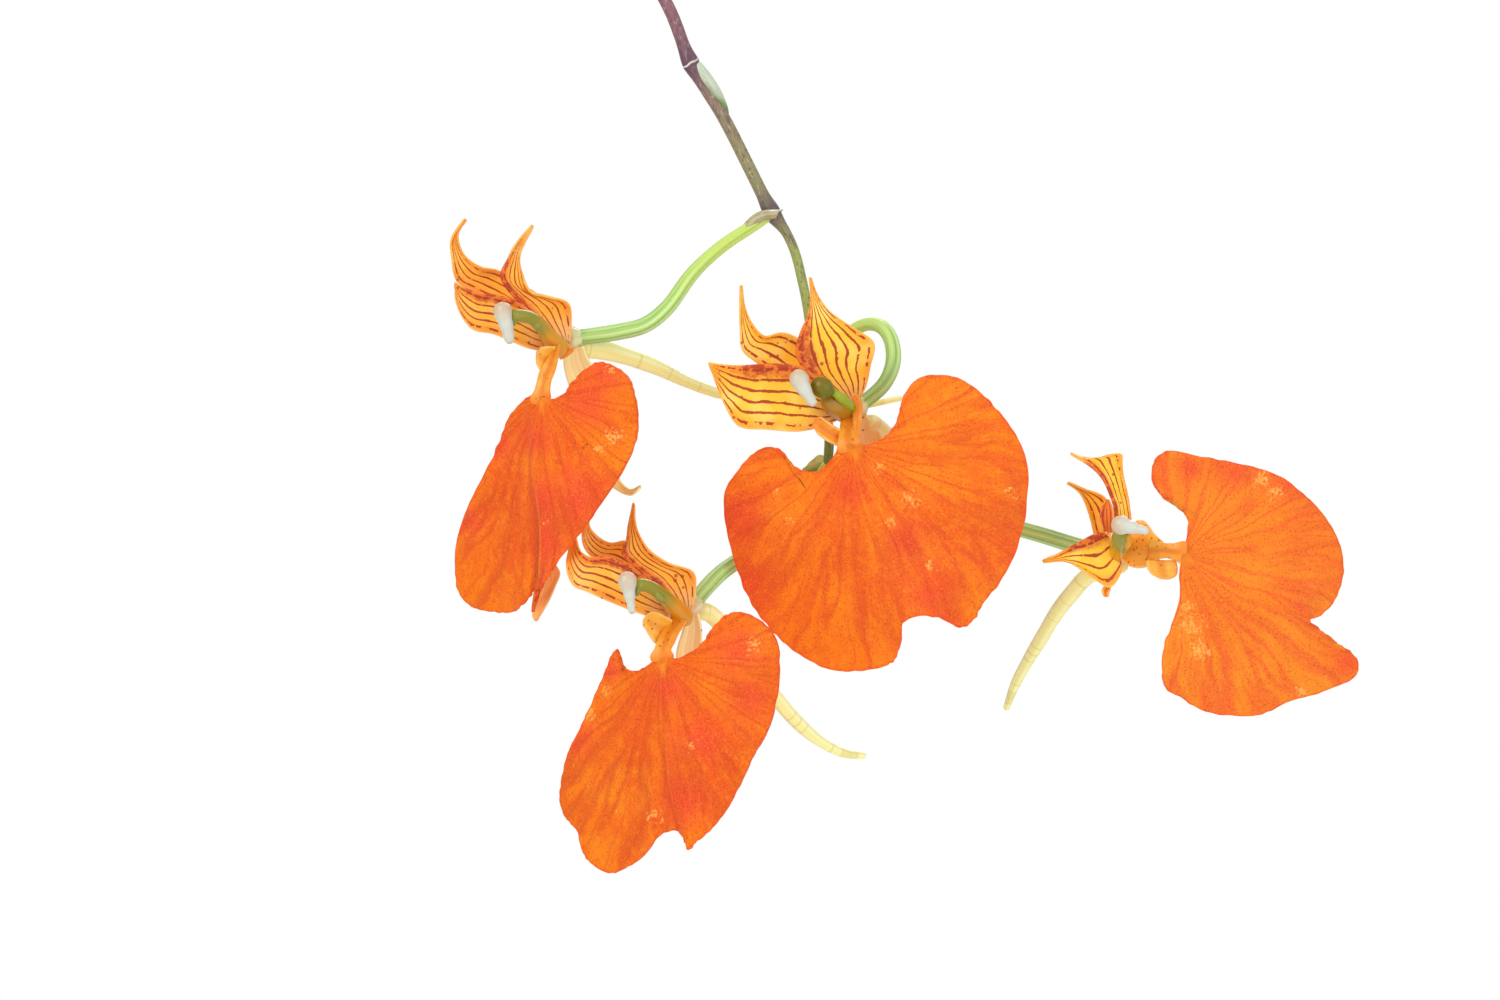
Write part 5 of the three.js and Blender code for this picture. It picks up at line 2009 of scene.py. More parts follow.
class BloomFinishes:
    """The finishes that the four blooms share. Petals and sepals have them by stripes and peachiness."""

    def __init__(self) -> None:
        """Paints them all."""
        self.lip = LipFinish("lip_orange").paint()
        self.lip_back = LipFinish(
            "lip_reverse", deep=(238, 130, 66), warm=(243, 150, 80), bright=(246, 166, 96),
            furrow=(224, 104, 56), rim=(232, 112, 56), callus=(246, 172, 98), speck=(220, 100, 52),
            furrows=0.35,
        ).paint()
        self.claw = ClawFinish("claw_gold").paint()
        self.lobe = ClawFinish(
            "lobe_gold", (244, 172, 48), (252, 198, 88), (228, 140, 32), far=(250, 182, 84),
        ).paint()
        self.hood = ClawFinish(
            "hood_dotted", (242, 154, 30), (250, 176, 54), (232, 134, 24), far=(248, 158, 48), dotted=0.9,
        ).paint()
        self.petal = {(5, True): PetalFinish("petal_peach", 5, **PEACH).paint()}
        for count in (4, 6, 7):
            self.petal[count, False] = PetalFinish(f"petal_{count}_stripes", count).paint()
        self.sepal = {(4, True): PetalFinish("sepal_peach", 4, False, **PEACH).paint()}
        for count in (3, 4):
            self.sepal[count, False] = PetalFinish(f"sepal_{count}_stripes", count, False).paint()
        self.petal_back = PetalFinish(
            "petal_reverse", 5, blotched=False, ground=(252, 196, 92), rim=(248, 168, 80), strength=0.4,
        ).paint()
        self.fold = PetalFinish(
            "petal_fold", 3, ground=(226, 112, 16), rim=(214, 96, 16), base=(232, 130, 30),
            pale=(236, 130, 24),
        ).paint()
        self.tail = StripedFlesh(
            "lip_tail", (255, 184, 104), (250, 172, 94), (242, 150, 72), 5, 0.45, ridge=(255, 198, 126),
        ).paint()
        self.cap = WaxFinish("anther_wax").paint()
        self.pedicel = StripedFlesh(
            "pedicel_green", (194, 216, 104), (174, 212, 122), (100, 160, 74), 6, 0.5, lines_from=0.25,
            ridge=(222, 244, 184),
        ).paint()
        self.knob = StripedFlesh(
            "receptacle_tan", (206, 220, 160), (230, 206, 160), (206, 166, 134), 5, 0.3,
            ridge=(238, 232, 202),
        ).paint()
        self.spur = StripedFlesh(
            "spur_yellow", (248, 244, 174), (250, 250, 176), (236, 228, 122), 5, 0.3,
            under=(250, 246, 158), rings=(214, 200, 100), ridge=(255, 252, 210),
        ).paint()
        self.limb = StripedFlesh(
            "synsepal_cream", (255, 240, 170), (255, 230, 136), (250, 208, 112), 5, 0.3,
            dot=(96, 60, 40), ridge=(255, 242, 196),
        ).paint()
        column = {
            Hue.OLIVE: ((146, 142, 40), (176, 154, 44), (222, 152, 30), 0.15),
            Hue.GREEN: ((132, 140, 60), (152, 160, 82), (144, 148, 50)),
            Hue.LIME: ((142, 174, 40), (162, 188, 62), (154, 168, 38), 0.1),
            Hue.GOLD: ((176, 126, 22), (196, 132, 26), (204, 128, 22)),
            Hue.DARK: ((108, 108, 12), (118, 112, 18), (124, 104, 10), 0.08),
        }
        self.column = {
            hue: ColumnFinish(f"column_{hue.value}", *own).paint() for hue, own in column.items()
        }


@dataclass
class BloomBuilder:
    """One bloom: its pedicel, column, anther cap, lip, petals, dorsal sepal and synsepal."""

    bloom: Bloom
    finishes: BloomFinishes
    pedicel_radii: tuple[float, ...] = (0.72, 0.74, 0.76, 0.8, 0.86, 0.88, 0.82)
    knob_reach: float = 1.5

    @property
    def shape(self) -> BloomShape:
        """The bloom's outlines."""
        return BLOOM_SHAPES[self.bloom]

    @property
    def seed(self) -> int:
        """A number of the bloom's own for its unevenness."""
        return 10 * (1 + list(Bloom).index(self.bloom))

    def named(self, part: str) -> str:
        """Names a piece of this bloom."""
        return f"{part}_{self.bloom.value}"

    def put(self, slot: str, part: str, *pieces: Piece) -> None:
        """Joins what a part is made of and seats it in place of the bloom's node of that name."""
        seat(join(self.named(part), pieces), slot, f"bloom_{self.bloom.value}_{part}")

    def sheet(self, part: str, rungs: Sequence[Rung], skin: Material, *sizes: float,
              **relief: float) -> Piece:
        """Models a blade with one skin on both sides."""
        return Blade(self.named(part), rungs, skin, skin, *sizes, **relief).build()

    def pedicel(self) -> None:
        """Models the ridged stalk and ovary."""
        stalk = Stem(
            self.named("stalk"), route(self.shape.pedicel), self.pedicel_radii, self.finishes.pedicel,
            rings=90, sides=36, ribs=6, rib_depth=0.12, twist=0.6,
        ).build()
        heart = route([self.shape.heart])[0]
        before = route([self.shape.pedicel[-2]])[0]
        along = unit(heart - before) * self.knob_reach * MM
        knob = Stem(
            self.named("receptacle"), np.array([heart - along, heart, heart + along]), (1.2, 1.42, 1.2),
            self.finishes.knob, rings=10, sides=36, ribs=5, rib_depth=0.07,
        ).build()
        self.put("pedicel", "pedicel", stalk, knob)

    def column(self) -> None:
        """Models the arched column with its green strands."""
        strands = [
            Stem(
                self.named(f"strand_{number}"), route(strand.stops), strand.radii,
                self.finishes.column[strand.hue], rings=26, sides=24, lead=(0, 0, 1),
            ).build()
            for number, strand in enumerate(self.shape.column)
        ]
        self.put("column", "column", *strands)

    def anther_cap(self) -> None:
        """Models the drop-shaped cap with its beak."""
        cap = Stem(
            self.named("cap"), route(self.shape.anther), self.shape.anther_radii, self.finishes.cap,
            rings=30, sides=28,
        ).build()
        self.put("anther_cap", "anther_cap", cap)

    def lip(self) -> None:
        """Models the blade, claw and side lobes, grown as one."""
        shape, skins = self.shape, self.finishes
        lobe = skins.claw if self.bloom is Bloom.CENTRE else skins.lobe
        hood = skins.hood if self.bloom is Bloom.RIGHT else skins.claw
        parts = [
            LipBlade(self.named("blade"), shape.lip, self.seed, skins.lip, skins.lip_back).build(),
            self.sheet("claw", shape.claw, skins.claw, -0.3, 8, 30, 0.6),
            self.sheet("side_lobe", shape.side_lobe, lobe, 0.6, 8, 14, 0.4, wave=0.12),
            self.sheet("wing", shape.wing, hood, -0.5, 8, 14, 0.4, wave=0.1),
        ]
        if shape.lip.tail:
            parts.append(self.sheet("tail", shape.lip.tail, skins.tail, 0.3, 8, 20, 0.35))
        self.put("lip", "lip", *parts)

    def petals(self) -> None:
        """Models the two petals and the dorsal sepal."""
        shape, skins = self.shape, self.finishes
        right, left, dorsal = shape.stripes
        parts = {
            "petal_right": (shape.petal_right, skins.petal[right, shape.peachy], ()),
            "petal_left": (shape.petal_left, skins.petal[left, shape.peachy], shape.folds),
            "dorsal_sepal": (shape.dorsal, skins.sepal[dorsal, shape.peachy], ()),
        }
        for number, (part, (rungs, finish, folds)) in enumerate(parts.items()):
            blade = Blade(
                self.named(part), rungs, finish, skins.petal_back, 0.8, 12, 36, 0.36, ridge=0.12, wave=0.22,
                seed=self.seed + number,
            ).build()
            lobes = [
                self.sheet(f"fold_{at}", fold, skin, 0.5, 8, 14, 0.3)
                for at, (fold, skin) in enumerate(zip(folds, (skins.fold, skins.claw)))
            ]
            self.put("petal", part, blade, *lobes)

    def synsepal(self) -> None:
        """Models the pale limb behind the lip with its spur."""
        skin = self.finishes.limb
        limb = self.sheet("limb", self.shape.limb, skin, 0.7, 8, 30, 0.45, ridge=0.15, wave=0.15)
        spur = Stem(
            self.named("spur"), route(self.shape.spur), self.shape.spur_radii, self.finishes.spur,
            rings=80, sides=20, ribs=2, rib_depth=0.07, flatness=0.9, lead=(0, 0, 1),
        ).build()
        self.put("synsepal", "synsepal", limb, spur)

    def build(self) -> None:
        """Models and seats the whole bloom."""
        self.pedicel()
        self.column()
        self.anther_cap()
        self.lip()
        self.petals()
        self.synsepal()


@dataclass
class FlowerSpike:
    """The arching stalk, swollen at its nodes, with its bracts.

    Sizes and the rise are in millimetres. The fall, its nodes and the bracts are drawn in the front view.
    A scar holds its tilt in millimetres, and its radius as a multiple of the stalk's.
    """

    rise: tuple[Stop, ...] = (
        (13, -16, 76), (14, -17, 100), (15, -15, 150), (24, -11, 200), (48, -6, 243), (84, -2, 262),
        (122, 0, 255), (149, 0, 233),
    )
    fall: tuple[Stop, ...] = (
        (665, 0, 0), (691, 63, 0), (724, 118, 0), (749, 167, 0), (767, 203, 0), (775, 217, 0),
        (786, 232, 0), (795, 252, 0), (803, 284, 0), (807, 304, 0), (813, 345, 1), (820, 385, 2),
        (829, 430, 2), (828, 466, 2),
    )
    nodes: tuple[Stop, ...] = ((691, 63, 0), (771, 211, 0), (820, 387, 2))
    stalk_radius: float = 0.76
    tip_radius: float = 0.58
    foot_swell: float = 0.45
    swelling: float = 0.3
    dark_reach: float = 2.4
    scars: tuple[Pair, ...] = ((0.1, 0.98), (-0.5, 1.14))
    scar_radii: tuple[float, ...] = (0.1, 0.15, 0.09, 0.14, 0.1)
    stations: int = 1200
    upper_bract: tuple[Rung, ...] = (
        (690, 62, 697, 59, -0.5), (696, 71, 705.5, 68, -0.9), (702, 81, 713, 78, -1.0),
        (708.5, 91, 720, 89, -0.9), (715, 100, 724.5, 99, -0.6), (722, 107, 727, 106.5, -0.3),
        (727.5, 114, 728.5, 113.5, 0.2),
    )
    node_bract: tuple[Rung, ...] = (
        (780, 210, 776, 218, -1.2), (766, 210, 763, 221, -1.5), (755, 214, 757, 225, -1.6),
        (747, 221, 749, 231, -1.5), (740, 229, 742, 232, -1.2),
    )
    tip_bract: tuple[Rung, ...] = (
        (828, 459, 833, 469, 3.6), (820, 454.5, 827, 472, 3.9), (813, 459, 819, 474, 4.2),
        (807, 465, 811, 474, 4.4), (802, 470, 804, 473, 4.2),
    )

    def stalk(self) -> Piece:
        """Models the stalk, darkens its nodes and rings two of them with scars.

        Returns:
            The stalk, grown with its scars.
        """
        path = np.vstack([np.array(self.rise) * MM, route(self.fall)])
        swollen = route(self.nodes)
        fine = np.linspace(0, 1, self.stations)
        line, metres = even_run(path, fine)
        spots = [fine[np.argmin(np.linalg.norm(line - node, axis=1))] for node in swollen]
        length = metres / MM

        def radius(share: Shares) -> np.ndarray:
            """Gives the stalk's radius, thicker at its foot and nodes.

            Args:
                share: Shares of the stalk's length.

            Returns:
                Radii in millimetres.
            """
            plain = self.stalk_radius + self.foot_swell * np.maximum(0, 0.5 - share)
            thin = smooth_step(spots[1], spots[1] + 0.01, share)
            plain = plain + (self.tip_radius - self.stalk_radius) * thin
            away = [(share - spot) * length / (2 * self.stalk_radius) for spot in spots]
            return plain + sum(self.swelling * np.exp(-(gap**2)) for gap in away)

        skin = SpikeFinish("spike_skin", *spots[:2]).paint()
        stalk = Stem("stalk", path, radius, skin, rings=620, sides=20, ribs=5, rib_depth=0.03).build()
        apart = [np.linalg.norm(vertices_of(stalk) - node, axis=1) / MM for node in swollen]
        add_values(stalk, "Node", np.max([hump(away, self.dark_reach) for away in apart], axis=0))
        pale = PaperFinish("scar_skin", (232, 226, 212), (190, 176, 160), (150, 130, 120), 6).paint()
        parts = [stalk]
        for number, (spot, (tilt, wide)) in enumerate(zip(spots, self.scars)):
            at = int(round(spot * (self.stations - 1)))
            around = self.collar(line, at, radius(np.array([spot]))[0] * wide, tilt)
            parts.append(Stem(f"collar_{number}", around, self.scar_radii, pale, 48, 8).build())
        return join("spike_stalk", parts)

    def collar(self, line: Points, at: int, radius: float, tilt: float) -> Points:
        """Finds the thin raised scar that a fallen sheath leaves round a node.

        Args:
            line: Evenly spaced points of the stalk.
            at: The point at the node.
            radius: The scar's radius in millimetres.
            tilt: How far down the stalk its left side lies, in millimetres.

        Returns:
            Its route, once round the stalk and tilted across it.
        """
        along = unit(line[at + 4] - line[at - 4])
        side = unit(np.cross(along, (0, -1, 0)))
        front = np.cross(along, side)
        turns = np.linspace(0, TURN, 25)[:, None]
        lean = tilt * np.cos(turns) + 0.05 * np.sin(5 * turns)
        out = np.cos(turns) * side + np.sin(turns) * front
        return line[at] + MM * (radius * out + lean * along)

    def build(self) -> None:
        """Models and seats the stalk and the three bracts."""
        seat(self.stalk(), "spike", "flower_spike")
        green = PaperFinish("bract_green", (200, 209, 188), (114, 142, 84), (150, 164, 128), 9, 0.5).paint()
        tan = PaperFinish("bract_tan", (196, 190, 150), (150, 138, 96), (118, 96, 72), 12).paint()
        olive = PaperFinish("bract_olive", (196, 198, 122), (128, 136, 62), (120, 108, 52), 8).paint()
        bracts = {
            "upper": (self.upper_bract, green, 0.12),
            "node": (self.node_bract, tan, 0.25),
            "tip": (self.tip_bract, olive, 0.5),
        }
        for number, (name, (rungs, finish, wave)) in enumerate(bracts.items()):
            bract = Blade(
                f"bract_{name}_skin", rungs, finish, finish, -0.6, 12, 30, 0.25, ridge=0.1, wave=wave,
                waves=3.4, seed=number,
            ).build()
            seat(bract, "bract", f"bract_{name}")


@dataclass(frozen=True)
class Bulb:
    """One pseudobulb and its leaf: sizes in millimetres, the heading in degrees."""

    foot: Pair
    top: Pair
    height: float
    radius: float
    heading: float
    leaf_length: float
    half_width: float
    lift: float
    reach: float


BULBS = (
    Bulb((12, -4), (15, -6), 34, 7.2, 75, 96, 15, 62, 38),
    Bulb((-3, 3), (-5, 4), 38, 7.8, 128, 128, 17, 84, 62),
    Bulb((-17, -2), (-21, -4), 33, 7.0, 196, 118, 16, 62, 74),
    Bulb((2, -16), (1, -21), 30, 6.6, 262, 100, 15, 50, 66),
    Bulb((-10, 17), (-12, 22), 27, 6.0, 158, 84, 13, 44, 56),
)
BULB_SWELL = through(0.6, 0.95, 1.0, 0.93, 0.72, 0.3)
LEAF_WIDTH = through(0.16, 0.2, 0.62, 0.95, 1, 0.82, 0.42, 0.05)


@dataclass
class Growth:
    """The pseudobulbs on their rhizome, their leaves and the roots, in millimetres."""

    bark_top: float = 78.0
    sink: float = 4.0
    fold: float = 0.32
    rhizome: tuple[Stop, ...] = (
        (-13, 20, 79), (-8, 8, 80), (-16, -1, 80), (-4, -6, 80), (2, -15, 80), (12, -4, 80),
    )
    roots: tuple[tuple[Stop, ...], ...] = (
        ((16, -2, 82), (24, 2, 88), (33, 8, 86), (36, 14, 78), (37, 16, 70)),
        ((0, -22, 81), (-4, -30, 87), (-12, -36, 84), (-16, -37, 77), (-17, -37, 69)),
        ((-20, 6, 81), (-29, 12, 87), (-37, 12, 83), (-39, 9, 76), (-39, 8, 69)),
        ((-2, 12, 81), (4, 22, 88), (8, 32, 85), (6, 38, 77), (4, 39, 69)),
    )

    def ends(self, bulb: Bulb) -> tuple[Points, Points]:
        """Finds a bulb's foot and crown in metres.

        Args:
            bulb: The pseudobulb.

        Returns:
            The middles of its foot and of its crown.
        """
        foot = np.array([*bulb.foot, self.bark_top - self.sink]) * MM
        crown = np.array([*bulb.top, self.bark_top - self.sink + bulb.height]) * MM
        return foot, crown

    def bulb(self, number: int, bulb: Bulb, finish: Material) -> Piece:
        """Models one ribbed pseudobulb.

        Args:
            number: Its number.
            bulb: Its sizes.
            finish: Its material.

        Returns:
            The closed pseudobulb.
        """
        foot, crown = self.ends(bulb)
        return Stem(
            f"bulb_{number}", np.array([foot, foot + (crown - foot) * 0.45, crown]),
            lambda share: bulb.radius * BULB_SWELL(share), finish, rings=40, sides=44, ribs=9,
            rib_depth=0.035, flatness=0.86,
        ).build()

    def sheath(self, number: int, bulb: Bulb, finish: Material) -> Piece:
        """Models the dry papery sheath that wraps a bulb's foot and ends in a torn point.

        Args:
            number: The bulb's number.
            bulb: The bulb's sizes.
            finish: The sheath's material.

        Returns:
            The closed sheath.
        """
        foot, crown = self.ends(bulb)
        wrap = Swell(60 + number, 0.5)

        def place(u: Shares, v: Shares) -> Points:
            """Wraps the sheath most of the way round, higher on one side.

            Args:
                u: Shares across the grid.
                v: Shares along it.

            Returns:
                One point for each pair of shares.
            """
            turn = TURN * (0.9 * u + number * 0.21)
            top = 0.34 + 0.26 * hump(u - 0.5, 0.2) + 0.05 * wrap.at(u * 2, v)
            rise = np.clip(v * top, 0, 1)
            gap = 0.35 + 0.5 * v**3 + 0.2 * np.abs(wrap.at(u, v)) * v
            radius = (bulb.radius * BULB_SWELL(rise) + gap) * MM
            centre = foot + (crown - foot) * (rise[:, None] + 0.03)
            ring = np.column_stack([np.cos(turn) * 0.9, np.sin(turn), np.zeros_like(turn)])
            return centre + ring * radius[:, None]

        piece = lay_grid(f"sheath_{number}", 40, 12, place)
        with editing(piece):
            bpy.ops.mesh.normals_make_consistent(inside=False)
        thicken(piece, 0.3)
        dress(piece, finish, finish)
        return piece

    def leaf(self, number: int, bulb: Bulb) -> Piece:
        """Models one arching strap leaf, folded on its midrib.

        Args:
            number: Its number.
            bulb: The bulb that bears it.

        Returns:
            The leaf, not dressed yet.
        """
        turn = math.radians(bulb.heading)
        out = np.array([math.cos(turn), math.sin(turn), 0.0])
        side = np.array([-out[1], out[0], 0.0])
        up = np.array([0.0, 0.0, 1.0])
        base = self.ends(bulb)[1] - up * MM
        droop = max(0.0, bulb.leaf_length - math.hypot(bulb.lift, bulb.reach)) * 0.6
        stops = ((0, 0), (0.1, 0.42), (0.42, 0.86), (0.78, 1.0))
        rib = [base + (out * bulb.reach * a + up * bulb.lift * b) * MM for a, b in stops]
        rib.append(base + (out * bulb.reach * 1.08 + up * (bulb.lift - droop)) * MM)
        fine = np.linspace(0, 1, 160)
        middle, _ = even_run(np.array(rib), fine)
        upward = np.cross(unit(np.gradient(middle, axis=0)), side)
        sway = Swell(80 + number, 0.5)

        def place(u: Shares, v: Shares) -> Points:
            """Spreads the blade about its rib.

            Args:
                u: Shares across the grid.
                v: Shares along it.

            Returns:
                One point for each pair of shares.
            """
            spot, lift = at_shares(v, fine, middle), at_shares(v, fine, upward)
            width = LEAF_WIDTH(v)
            half = bulb.half_width * width
            across = 2 * u - 1
            fold = half * self.fold
            rise = fold / 2 - fold * 4 * u * (1 - u)
            rise += 0.9 * across**2 * np.sin(TURN * 2.2 * v + number + 1.4 * np.sign(across)) * width
            rise += 0.5 * sway.at(u * 0.6, v) * width - 0.5 * hump(across, 0.07) * (1 - v)
            return spot + (side * (half * across)[:, None] + lift * rise[:, None]) * MM

        piece = lay_grid(f"leaf_blade_{number}", 24, 70, place)
        face_towards(piece, (0, 0, 1))
        thicken(piece, 1.0)
        return piece

    def build(self) -> None:
        """Models and seats the growth."""
        bulb_skin = BulbFinish("bulb_skin").paint()
        dry = PaperFinish("sheath_paper").paint()
        top = LeafFinish("leaf_top").paint()
        under = LeafFinish(
            "leaf_under", (104, 136, 72), (84, 118, 58), (140, 160, 96), roughness=0.55,
        ).paint()
        parts = [
            Stem(
                "rhizome", np.array(self.rhizome) * MM, (2.9, 3.2, 3.0, 3.3, 3.0, 3.1), dry, rings=60,
                sides=20, ribs=3, rib_depth=0.04,
            ).build()
        ]
        for number, bulb in enumerate(BULBS, 1):
            parts += [self.bulb(number, bulb, bulb_skin), self.sheath(number, bulb, dry)]
            leaf = self.leaf(number, bulb)
            dress(leaf, top, under)
            seat(leaf, "leaf", f"leaf_{number}")
        seat(join("bulbs_and_sheaths", parts), "bulb", "pseudobulbs")
        silver = RootFinish("root_skin").paint()
        for number, stops in enumerate(self.roots, 1):
            root = Stem(
                f"root_skin_{number}", np.array(stops) * MM, (1.2, 1.3, 1.1, 1.15, 1.0, 0.85), silver,
                rings=60, sides=18, ribs=2, rib_depth=0.05, twist=1.3,
            ).build()
            seat(root, "root", f"root_{number}")


@dataclass
class Pot:
    """A plain thrown pot with a banded rim and three drain holes, in millimetres and degrees."""

    height: float = 90.0
    rim_radius: float = 52.0
    base_radius: float = 36.0
    wall: float = 4.0
    edge: float = 1.5
    band_height: float = 20.0
    band_step: float = 2.5
    hole_radius: float = 4.0
    hole_ring: float = 20.0
    hole_headings: tuple[float, ...] = (90.0, 210.0, 330.0)
    sides: int = 96
    soft_below: float = 50.0

    @property
    def floor(self) -> float:
        """The height at which the inner wall leaves the rounding of the floor."""
        return self.wall + 2 * self.edge

    def wall_at(self, height: float) -> float:
        """Gives the outer radius of the wall below the band."""
        top = self.rim_radius - self.band_step
        return self.base_radius + (top - self.base_radius) * height / self.height

    def profile(self) -> list[Pair]:
        """Lists radius and height from the base up the outside, over the rim and down inside.

        Returns:
            The steps, in millimetres.
        """
        base, rim, edge, height = self.base_radius, self.rim_radius, self.edge, self.height
        foot = height - self.band_height
        inside = rim - self.band_step - self.wall
        steps = [(base - edge, 0.0), (base - 0.4, 0.4), (base, edge)]
        steps += [(self.wall_at(z), z) for z in np.linspace(6, foot - 1, 12)]
        steps += [(self.wall_at(foot) + 0.2, foot), (self.wall_at(foot) + self.band_step, foot + edge)]
        steps += [(rim - 0.3, foot + 6), (rim, height - edge), (rim - 0.45, height - 0.4)]
        steps += [(rim - edge, height), (inside + edge, height), (inside + 0.4, height - 0.4)]
        steps += [(inside, height - edge)]
        steps += [(self.wall_at(z) - self.wall, z) for z in np.linspace(height - 8, self.floor, 8)]
        return steps + [(self.wall_at(0) - self.wall - 2 * edge, self.wall), (8.0, self.wall)]

    def build(self) -> None:
        """Throws the pot: a disc is drawn up, over and down inside, step by step."""
        pot = draw_up("pot_thrown", self.sides, self.profile())
        for heading in self.hole_headings:
            self.drill(pot, math.radians(heading))
        smooth_shade(pot, self.soft_below)
        dress(pot, TerracottaFinish("terracotta").paint())
        seat(pot, "terracotta", "pot")

    def drill(self, pot: Piece, heading: float) -> None:
        """Cuts one drain hole through the floor.

        Args:
            pot: The pot.
            heading: Where the hole lies, in radians.
        """
        deselect()
        place = (self.hole_ring * MM * math.cos(heading), self.hole_ring * MM * math.sin(heading), 0)
        bpy.ops.mesh.primitive_cylinder_add(
            vertices=32, radius=self.hole_radius * MM, depth=4 * self.wall * MM, location=place
        )
        punch = bpy.context.object
        modify(pot, "BOOLEAN", operation="DIFFERENCE", object=punch, solver="EXACT")
        bpy.data.objects.remove(punch)


@dataclass
class BarkBed:
    """The bed of bark: a filled body with chips lying on it, in millimetres, degrees and radians."""

    pot: Pot
    top: float = 78.0
    gap: float = 0.9
    chips: int = 20
    small_chips: int = 130
    chip_size: Stop = (14.0, 9.0, 7.0)
    kind_count: int = 6
    cuts: int = 3
    golden_turn: float = 2.39996
    sides: int = 72
    soft_below: float = 35.0
    kind_seed: int = 77
    large_seed: int = 4177
    small_seed: int = 505
    seed_factor: int = 16807
    seed_range: int = 2147483647

    def inner(self, height: float) -> float:
        """Gives the bed's radius at a height."""
        return self.pot.wall_at(height) - self.pot.wall - self.gap

    def spot(self, reach: float, turn: float, height: float) -> Points:
        """Finds the place at a distance and turn from the bed's middle."""
        return np.array([reach * math.cos(turn), reach * math.sin(turn), height])

    def kinds(self) -> list[Piece]:
        """Models the chips that the bed is made of, as broken blocks one unit long.

        Returns:
            One chip of each kind.
        """
        draw = np.random.default_rng(self.kind_seed)
        made = []
        for number in range(self.kind_count):
            deselect()
            bpy.ops.mesh.primitive_cube_add(size=1)
            chip = fresh(f"chip_kind_{number}")
            with editing(chip):
                for _ in range(self.cuts):
                    facing = Vector(draw.uniform(-1, 1, 3)).normalized()
                    cut = facing * float(draw.uniform(0.36, 0.5))
                    bpy.ops.mesh.select_all(action="SELECT")
                    bpy.ops.mesh.bisect(plane_co=cut, plane_no=facing, use_fill=True, clear_outer=True)
                bpy.ops.mesh.select_all(action="SELECT")
                bpy.ops.mesh.bevel(offset=0.05, segments=1, affect="EDGES")
                bpy.ops.mesh.select_all(action="SELECT")
                bpy.ops.mesh.quads_convert_to_tris()
                bpy.ops.mesh.subdivide(number_cuts=1, fractal=0.35, seed=number)
            made.append(chip)
        return made

    def lay(self, kind: Piece, size: Points, turns: Points, place: Points, tone: float) -> Piece:
        """Copies a chip to its size and place, with its own mesh.

        Args:
            kind: The chip that is copied.
            size: Its length, width and depth in millimetres.
            turns: Its turns about X, Y and Z in radians.
            place: Its middle in millimetres.
            tone: How light it is, from 0 to 1.

        Returns:
            The copy.
        """
        chip = kind.copy()
        chip.data = kind.data.copy()
        bpy.context.collection.objects.link(chip)
        about_x, about_y, about_z = (Matrix.Rotation(turn, 4, axis) for turn, axis in zip(turns, "XYZ"))
        spin = about_z @ about_y @ about_x
        there = Matrix.Translation(Vector(place * MM))
        chip.data.transform(there @ spin @ Matrix.Diagonal((*(size * MM), 1)))
        add_values(chip, "Chip", np.full(len(chip.data.vertices), tone))
        return chip

    def build(self) -> None:
        """Models and seats the bed with its chips."""
        floor = self.pot.floor
        bed_top = self.top - self.chip_size[2] / 2
        steps = [(self.inner(floor), floor), (self.inner(bed_top), bed_top), (2.0, bed_top + 2)]
        bed = draw_up("bark_body", self.sides, steps)
        kinds = self.kinds()
        parts = [bed, *self.large(kinds, bed_top), *self.small(kinds, bed_top)]
        for kind in kinds:
            bpy.data.objects.remove(kind)
        bark = join("bark_chips", parts)
        dress(bark, BarkFinish("bark_skin").paint())
        smooth_shade(bark, self.soft_below)
        seat(bark, "bark", "bark_medium")

    def large(self, kinds: list[Piece], bed_top: float) -> list[Piece]:
        """Lays the large chips where the construction model has them.

        Args:
            kinds: The chips to copy.
            bed_top: The height that they lie on.

        Returns:
            The chips that were laid.
        """
        state = self.large_seed
        laid = []
        length, width, depth = self.chip_size

        def draw() -> float:
            """Draws the next number of the seeded run.

            Returns:
                A number from 0 to 1.
            """
            nonlocal state
            state = state * self.seed_factor % self.seed_range
            return state / self.seed_range

        for number in range(self.chips):
            reach = (self.inner(self.top) - 0.7 * length) * math.sqrt((number + 0.5) / self.chips)
            size = np.array([
                length * (0.7 + 0.5 * draw()), width * (0.7 + 0.5 * draw()), depth * (0.8 + 0.5 * draw()),
            ])
            tilt = np.array([(draw() - 0.5) * 0.7, (draw() - 0.5) * 0.7, draw() * math.pi])
            place = self.spot(reach, number * self.golden_turn, bed_top + 0.6 + 1.4 * draw())
            laid.append(self.lay(kinds[number % len(kinds)], size, tilt, place, draw()))
        return laid

    def small(self, kinds: list[Piece], bed_top: float) -> list[Piece]:
        """Fills between them with small chips.

        Args:
            kinds: The chips to copy.
            bed_top: The height that they lie on.

        Returns:
            The chips that were laid.
        """
        draw = np.random.default_rng(self.small_seed)
        laid = []
        for number in range(self.small_chips):
            reach = (self.inner(self.top) - 4.5) * math.sqrt(draw.uniform(0, 1))
            turn = draw.uniform(0, TURN)
            size = draw.uniform((4, 3, 2), (9, 6, 4))
            place = self.spot(reach, turn, bed_top + draw.uniform(0.6, 3.4))
            tilt = draw.uniform((-0.5, -0.5, 0), (0.5, 0.5, TURN))
            laid.append(self.lay(kinds[number % len(kinds)], size, tilt, place, draw.uniform(0, 1)))
        return laid


